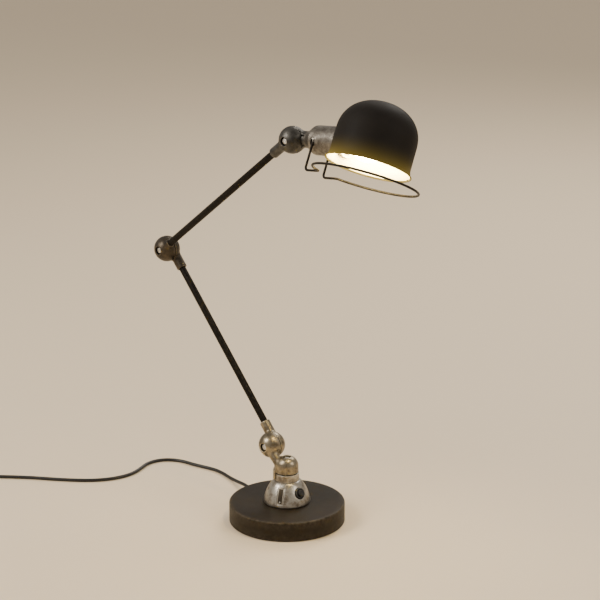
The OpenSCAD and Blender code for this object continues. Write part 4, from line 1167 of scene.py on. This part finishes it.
def paintedMetal(name, d):
    material, tree, put, shader = newMaterial(name)
    skin = use(put, paintSkin, Peel=d["peel"], Specks=d["specks"])
    wear = use(put, edgeWearAndHollowShade, Amount=d["wear"], Breakup=d["breakup"])["Mask"]
    dust = use(put, dustFall, Amount=d["dust"])["Mask"]
    shader.inputs["Specular IOR Level"].default_value = d["gloss"]
    colour = mixed(put, skin["Tone"], d["paint"], d["mottle"])
    colour = mixed(put, skin["Specks"], colour, d["speck"])
    colour = mixed(put, wear, colour, d["worn"])
    colour = mixed(put, dust, colour, (0.32, 0.28, 0.24))
    rough = spread(put, skin["Tone"], 0.0, 1.0, (d["rough"], d["rough"] + 0.1))
    rough = calc(put, "ADD", rough, calc(put, "MULTIPLY", dust, 0.2), clamp=True)
    tree.links.new(colour, shader.inputs["Base Color"])
    tree.links.new(rough, shader.inputs["Roughness"])
    bumped(put, tree, shader, skin["Height"], d["bump"], 0.0003)
    return material, tree, put, shader, colour


basePaint = paintedMetal("basePaint", {
    "paint": (0.0135, 0.0094, 0.0048), "mottle": (0.0195, 0.014, 0.0078), "speck": (0.07, 0.055, 0.04),
    "worn": (0.3, 0.24, 0.17), "peel": 1.0, "specks": 0.45, "wear": 0.9, "breakup": 0.5, "dust": 0.03,
    "rough": 0.46, "bump": 0.5, "gloss": 0.18})[0]
tubeBlack = paintedMetal("tubeBlack", {
    "paint": (0.0024, 0.002, 0.0017), "mottle": (0.004, 0.0033, 0.0027), "speck": (0.03, 0.025, 0.02),
    "worn": (0.08, 0.065, 0.05), "peel": 1.3, "specks": 0.3, "wear": 0.4, "breakup": 1.0, "dust": 0.01,
    "rough": 0.4, "bump": 0.3, "gloss": 0.07})[0]
wireBlack = paintedMetal("wireBlack", {
    "paint": (0.003, 0.0025, 0.002), "mottle": (0.005, 0.004, 0.003), "speck": (0.03, 0.025, 0.02),
    "worn": (0.1, 0.08, 0.06), "peel": 1.2, "specks": 0.3, "wear": 0.3, "breakup": 1.0, "dust": 0.01,
    "rough": 0.4, "bump": 0.3, "gloss": 0.12})[0]


def makeShadeEnamelWithPaintedGlow():
    # Matte brown-black outside, with a painted amber glow towards the rim, stronger on one side, standing in for
    # the bulb's light
    d = {"paint": (0.0085, 0.0068, 0.0056), "mottle": (0.0125, 0.01, 0.008), "speck": (0.04, 0.032, 0.025),
         "worn": (0.1, 0.08, 0.06), "peel": 0.9, "specks": 0.3, "wear": 0.25, "breakup": 1.0, "dust": 0.02,
         "rough": 0.6, "bump": 0.5, "gloss": 0.15, "paintedGlow": (1.0, 0.66, 0.06), "paintedGlowReach": 0.042,
         "paintedGlowPower": 0.42}
    material, tree, put, shader, colour = paintedMetal("shadeEnamelPaintedGlow", d)
    rim = inHead((shadeSet["at"], 0, -shadeSet["drop"])) * mm
    at = put("ShaderNodeTexCoord").outputs["Object"]
    moved = put("ShaderNodeVectorMath", {0: at, 1: tuple(rim)}, operation="SUBTRACT").outputs[0]
    height = put("ShaderNodeVectorMath", {0: moved, 1: tuple(upward)},
                 operation="DOT_PRODUCT").outputs["Value"]
    # Painted glow: emission that fades up from the rim and is weighted to one side, though the shade is no lamp
    paintedGlowMask = spread(put, height, d["paintedGlowReach"], 0.0)
    paintedGlowMask = calc(put, "POWER", paintedGlowMask, 2.6)
    across = put("ShaderNodeVectorMath", {0: moved, 1: tuple(ahead - 0.6 * aside)}, operation="DOT_PRODUCT")
    paintedGlowMask = calc(put, "MULTIPLY", paintedGlowMask, spread(put, across.outputs["Value"], 0.08, -0.05, (0.3, 1.0)))
    tree.links.new(mixed(put, paintedGlowMask, (0.0, 0.0, 0.0), d["paintedGlow"]), shader.inputs["Emission Color"])
    shader.inputs["Emission Strength"].default_value = d["paintedGlowPower"]
    return material


shadeEnamelPaintedGlow = makeShadeEnamelWithPaintedGlow()


def brightMetal(name, d):
    material, tree, put, shader = newMaterial(name)
    lines = use(put, scratches, Scale=1.0)
    wear = use(put, edgeWearAndHollowShade, Amount=0.4, Breakup=1.0)["Mask"]
    colour = mixed(put, lines["Smear"], d["metal"], d["dull"])
    colour = mixed(put, wear, colour, d["worn"])
    rough = calc(put, "ADD", spread(put, lines["Smear"], 0.3, 0.7, (d["rough"], d["rough"] + 0.18)),
                 calc(put, "MULTIPLY", lines["Height"], 0.12), clamp=True)
    shader.inputs["Metallic"].default_value = 1.0
    tree.links.new(colour, shader.inputs["Base Color"])
    tree.links.new(rough, shader.inputs["Roughness"])
    bumped(put, tree, shader, lines["Height"], 0.12, 0.0002)
    return material


brightSteel = brightMetal("brightSteel", {"metal": (0.78, 0.77, 0.74), "dull": (0.5, 0.48, 0.44),
                                          "worn": (0.9, 0.89, 0.86), "rough": 0.34})
coverSteel = brightMetal("coverSteel", {"metal": (0.46, 0.455, 0.44), "dull": (0.3, 0.295, 0.28),
                                        "worn": (0.6, 0.59, 0.57), "rough": 0.36})
brass = brightMetal("brass", {"metal": (0.8, 0.58, 0.24), "dull": (0.52, 0.36, 0.15),
                              "worn": (0.9, 0.72, 0.4),
                              "rough": 0.28})
plateBronze = brightMetal("plateBronze", {"metal": (0.085, 0.07, 0.052), "dull": (0.04, 0.033, 0.024),
                                          "worn": (0.3, 0.26, 0.2), "rough": 0.36})


plateBorder = brightMetal("plateBorder", {"metal": (0.6, 0.55, 0.46), "dull": (0.34, 0.3, 0.24),
                                          "worn": (0.7, 0.66, 0.58), "rough": 0.3})


def softPlastic(name, d):
    # Moulded plastic, rubber, fibre and ceramic: fine surface grain, handling smears and a little dust
    material, tree, put, shader = newMaterial(name)
    skin = use(put, paintSkin, Peel=d["peel"], Specks=d["specks"])
    lines = use(put, scratches, Scale=1.0)
    dust = use(put, dustFall, Amount=d["dust"])["Mask"]
    colour = mixed(put, skin["Tone"], d["one"], d["two"])
    colour = mixed(put, skin["Specks"], colour, d["speck"])
    colour = mixed(put, dust, colour, (0.3, 0.27, 0.23))
    rough = calc(put, "ADD", spread(put, lines["Smear"], 0.3, 0.7, (d["rough"], d["rough"] + 0.12)),
                 calc(put, "MULTIPLY", dust, 0.2), clamp=True)
    shader.inputs["Coat Weight"].default_value = d.get("coat", 0.0)
    shader.inputs["Coat Roughness"].default_value = 0.12
    tree.links.new(colour, shader.inputs["Base Color"])
    tree.links.new(rough, shader.inputs["Roughness"])
    bumped(put, tree, shader, skin["Height"], d["bump"], 0.00015)
    return material


blackPlastic = softPlastic("blackPlastic", {"one": (0.005, 0.0045, 0.004), "two": (0.008, 0.007, 0.006),
                                            "speck": (0.03, 0.027, 0.024), "peel": 1.0, "specks": 0.2,
                                            "dust": 0.02,
                                            "rough": 0.3, "bump": 0.2})
cordJacket = softPlastic("cordJacket", {"one": (0.005, 0.0045, 0.004), "two": (0.008, 0.007, 0.006),
                                        "speck": (0.03, 0.027, 0.024), "peel": 0.8, "specks": 0.2,
                                        "dust": 0.02,
                                        "rough": 0.34, "bump": 0.3})
wireCover = softPlastic("wireCover", {"one": (0.28, 0.13, 0.06), "two": (0.33, 0.16, 0.08),
                                      "speck": (0.2, 0.1, 0.05), "peel": 1.0, "specks": 0.2, "dust": 0.0,
                                      "rough": 0.4, "bump": 0.2})
fibre = softPlastic("fibre", {"one": (0.2, 0.1, 0.045), "two": (0.28, 0.15, 0.07),
                              "speck": (0.12, 0.06, 0.03),
                              "peel": 0.6, "specks": 0.8, "dust": 0.0, "rough": 0.6, "bump": 0.6})
porcelain = softPlastic("porcelain", {"one": (0.82, 0.79, 0.72), "two": (0.86, 0.83, 0.77),
                                      "speck": (0.6, 0.55, 0.48), "peel": 0.5, "specks": 0.3, "dust": 0.0,
                                      "rough": 0.3, "bump": 0.15, "coat": 0.4})


def makeLining():
    # White enamel inside the shade, lit by the bulb; its base colour is tinted yellow as painted warm light
    material, tree, put, shader = newMaterial("shadeLining")
    skin = use(put, paintSkin, Peel=0.8, Specks=0.2)
    # The yellow tint is painted warm light on the white enamel
    colour = mixed(put, skin["Tone"], (0.9, 0.82, 0.58), (0.92, 0.85, 0.63))
    tree.links.new(mixed(put, skin["Specks"], colour, (0.7, 0.62, 0.5)), shader.inputs["Base Color"])
    tree.links.new(spread(put, skin["Tone"], 0.0, 1.0, (0.36, 0.44)), shader.inputs["Roughness"])
    bumped(put, tree, shader, skin["Height"], 0.2, 0.0002)
    return material


shadeLining = makeLining()


def makeFelt():
    material, tree, put, shader = newMaterial("felt")
    at = put("ShaderNodeTexCoord").outputs["Object"]
    fibres = noise(put, at, 900.0, 6.0, 0.75)
    clumps = noise(put, at, 160.0, 4.0)
    colour = mixed(put, fibres, (0.045, 0.052, 0.046), (0.11, 0.12, 0.105))
    tree.links.new(mixed(put, spread(put, clumps, 0.45, 0.7), colour, (0.06, 0.066, 0.06)),
                   shader.inputs["Base Color"])
    tree.links.new(spread(put, fibres, 0.0, 1.0, (0.88, 1.0)), shader.inputs["Roughness"])
    shader.inputs["Sheen Weight"].default_value = 0.5
    bumped(put, tree, shader, calc(put, "ADD", fibres, clumps), 0.8, 0.0005)
    return material


felt = makeFelt()


def makeBulbGlass():
    # Frosted warm bulb that lights the inside of the shade
    d = {"core": (1.0, 0.83, 0.44), "rim": (1.0, 0.76, 0.34), "power": 110.0}
    material, tree, put, shader = newMaterial("bulbGlass")
    at = put("ShaderNodeTexCoord").outputs["Object"]
    haze = noise(put, at, 70.0, 3.0)
    tree.links.new(mixed(put, haze, (0.95, 0.92, 0.86), (0.9, 0.86, 0.78)), shader.inputs["Base Color"])
    tree.links.new(mixed(put, spread(put, haze, 0.35, 0.65), d["core"], d["rim"]),
                   shader.inputs["Emission Color"])
    tree.links.new(spread(put, haze, 0.0, 1.0, (0.25, 0.4)), shader.inputs["Roughness"])
    shader.inputs["Emission Strength"].default_value = d["power"]
    return material


bulbGlass = makeBulbGlass()
print("stage: finishes")

slotFinish = {"base_paint": basePaint, "cover_steel": coverSteel, "felt": felt, "raw_casting": rawCasting,
              "bright_steel": brightSteel, "black_plastic": blackPlastic, "plate_bronze": plateBronze,
              "cord_jacket": cordJacket, "fibre": fibre, "brass": brass, "tube_black": tubeBlack,
              "wire_cover": wireCover, "dark_casting": castingPaintedShade, "gunmetal_casting": gunmetalCasting,
              "holder_casting": holderCasting, "porcelain": porcelain, "bulb_glass": bulbGlass,
              "shade_enamel": shadeEnamelPaintedGlow, "wire_black": wireBlack}
cadSlot = {part["node"]: part["material_slot"] for part in frame["record"]["subparts"]}


def dress():
    # Every piece and every CAD node that still shows takes its slot's finish
    for node, piece in frame["nodes"].items():
        piece.data.materials.clear()
        piece.data.materials.append(slotFinish[cadSlot[node]])
    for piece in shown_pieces():
        if "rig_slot" in piece:
            piece.data.materials.clear()
            piece.data.materials.append(slotFinish[piece["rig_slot"]])
    lining.data.materials[0] = shadeLining
    # The turret and shoulder knuckle take the casting copy with painted warm lamplight
    for piece in (turret, lowerKnuckle):
        piece.data.materials[0] = castingPaintedWarmLight
    plate.data.materials.append(plateBorder)
    centres = np.array([face.center for face in plate.data.polygons]) / mm
    edge = plateLocal(centres)[0] > -plateSet["border"]
    for face, isEdge in zip(plate.data.polygons, edge):
        face.material_index = int(isEdge)


dress()

# --- floor and light

stageSet = {"floor": 16.0, "colour": (0.9, 0.75, 0.54), "sky": (1.0, 0.92, 0.82), "skyPower": 0.5}


def makeStage():
    d = stageSet
    half = d["floor"]
    mesh = bpy.data.meshes.new("floor")
    mesh.from_pydata([(-half, -half, 0), (half, -half, 0), (half, half, 0), (-half, half, 0)], [],
                     [(0, 1, 2, 3)])
    floor = bpy.data.objects.new("floor", mesh)
    bpy.context.scene.collection.objects.link(floor)
    material, tree, put, shader = newMaterial("floorPale")
    tone = noise(put, put("ShaderNodeTexCoord").outputs["Object"], 3.0, 4.0)
    tree.links.new(mixed(put, tone, d["colour"], tuple(c * 0.985 for c in d["colour"])),
                   shader.inputs["Base Color"])
    shader.inputs["Roughness"].default_value = 0.6
    mesh.materials.append(material)
    world = bpy.data.worlds.new("studio")
    world.use_nodes = True
    back = world.node_tree.nodes["Background"]
    back.inputs[0].default_value = (*d["sky"], 1)
    back.inputs[1].default_value = d["skyPower"]
    bpy.context.scene.world = world
    return floor


floor = makeStage()
lights = {"key": {"at": (-1.2, -2.2, 2.4), "size": 1.5, "power": 75, "colour": (1.0, 0.93, 0.84)},
          "side": {"at": (2.4, 0.8, 1.9), "size": 1.2, "power": 22, "colour": (1.0, 0.9, 0.78)},
          "back": {"at": (-0.9, 2.6, 2.4), "size": 1.6, "power": 45, "colour": (1.0, 0.94, 0.86)}}
for name, d in lights.items():
    data = bpy.data.lights.new(name, "AREA")
    data.shape, data.size, data.energy, data.color = "DISK", d["size"], d["power"], d["colour"]
    lamp = bpy.data.objects.new(name, data)
    lamp.location = d["at"]
    lamp.rotation_euler = (Vector((0, 0, 0.35)) - Vector(d["at"])).to_track_quat("-Z", "Y").to_euler()
    bpy.context.scene.collection.objects.link(lamp)
print("stage: floor and light")
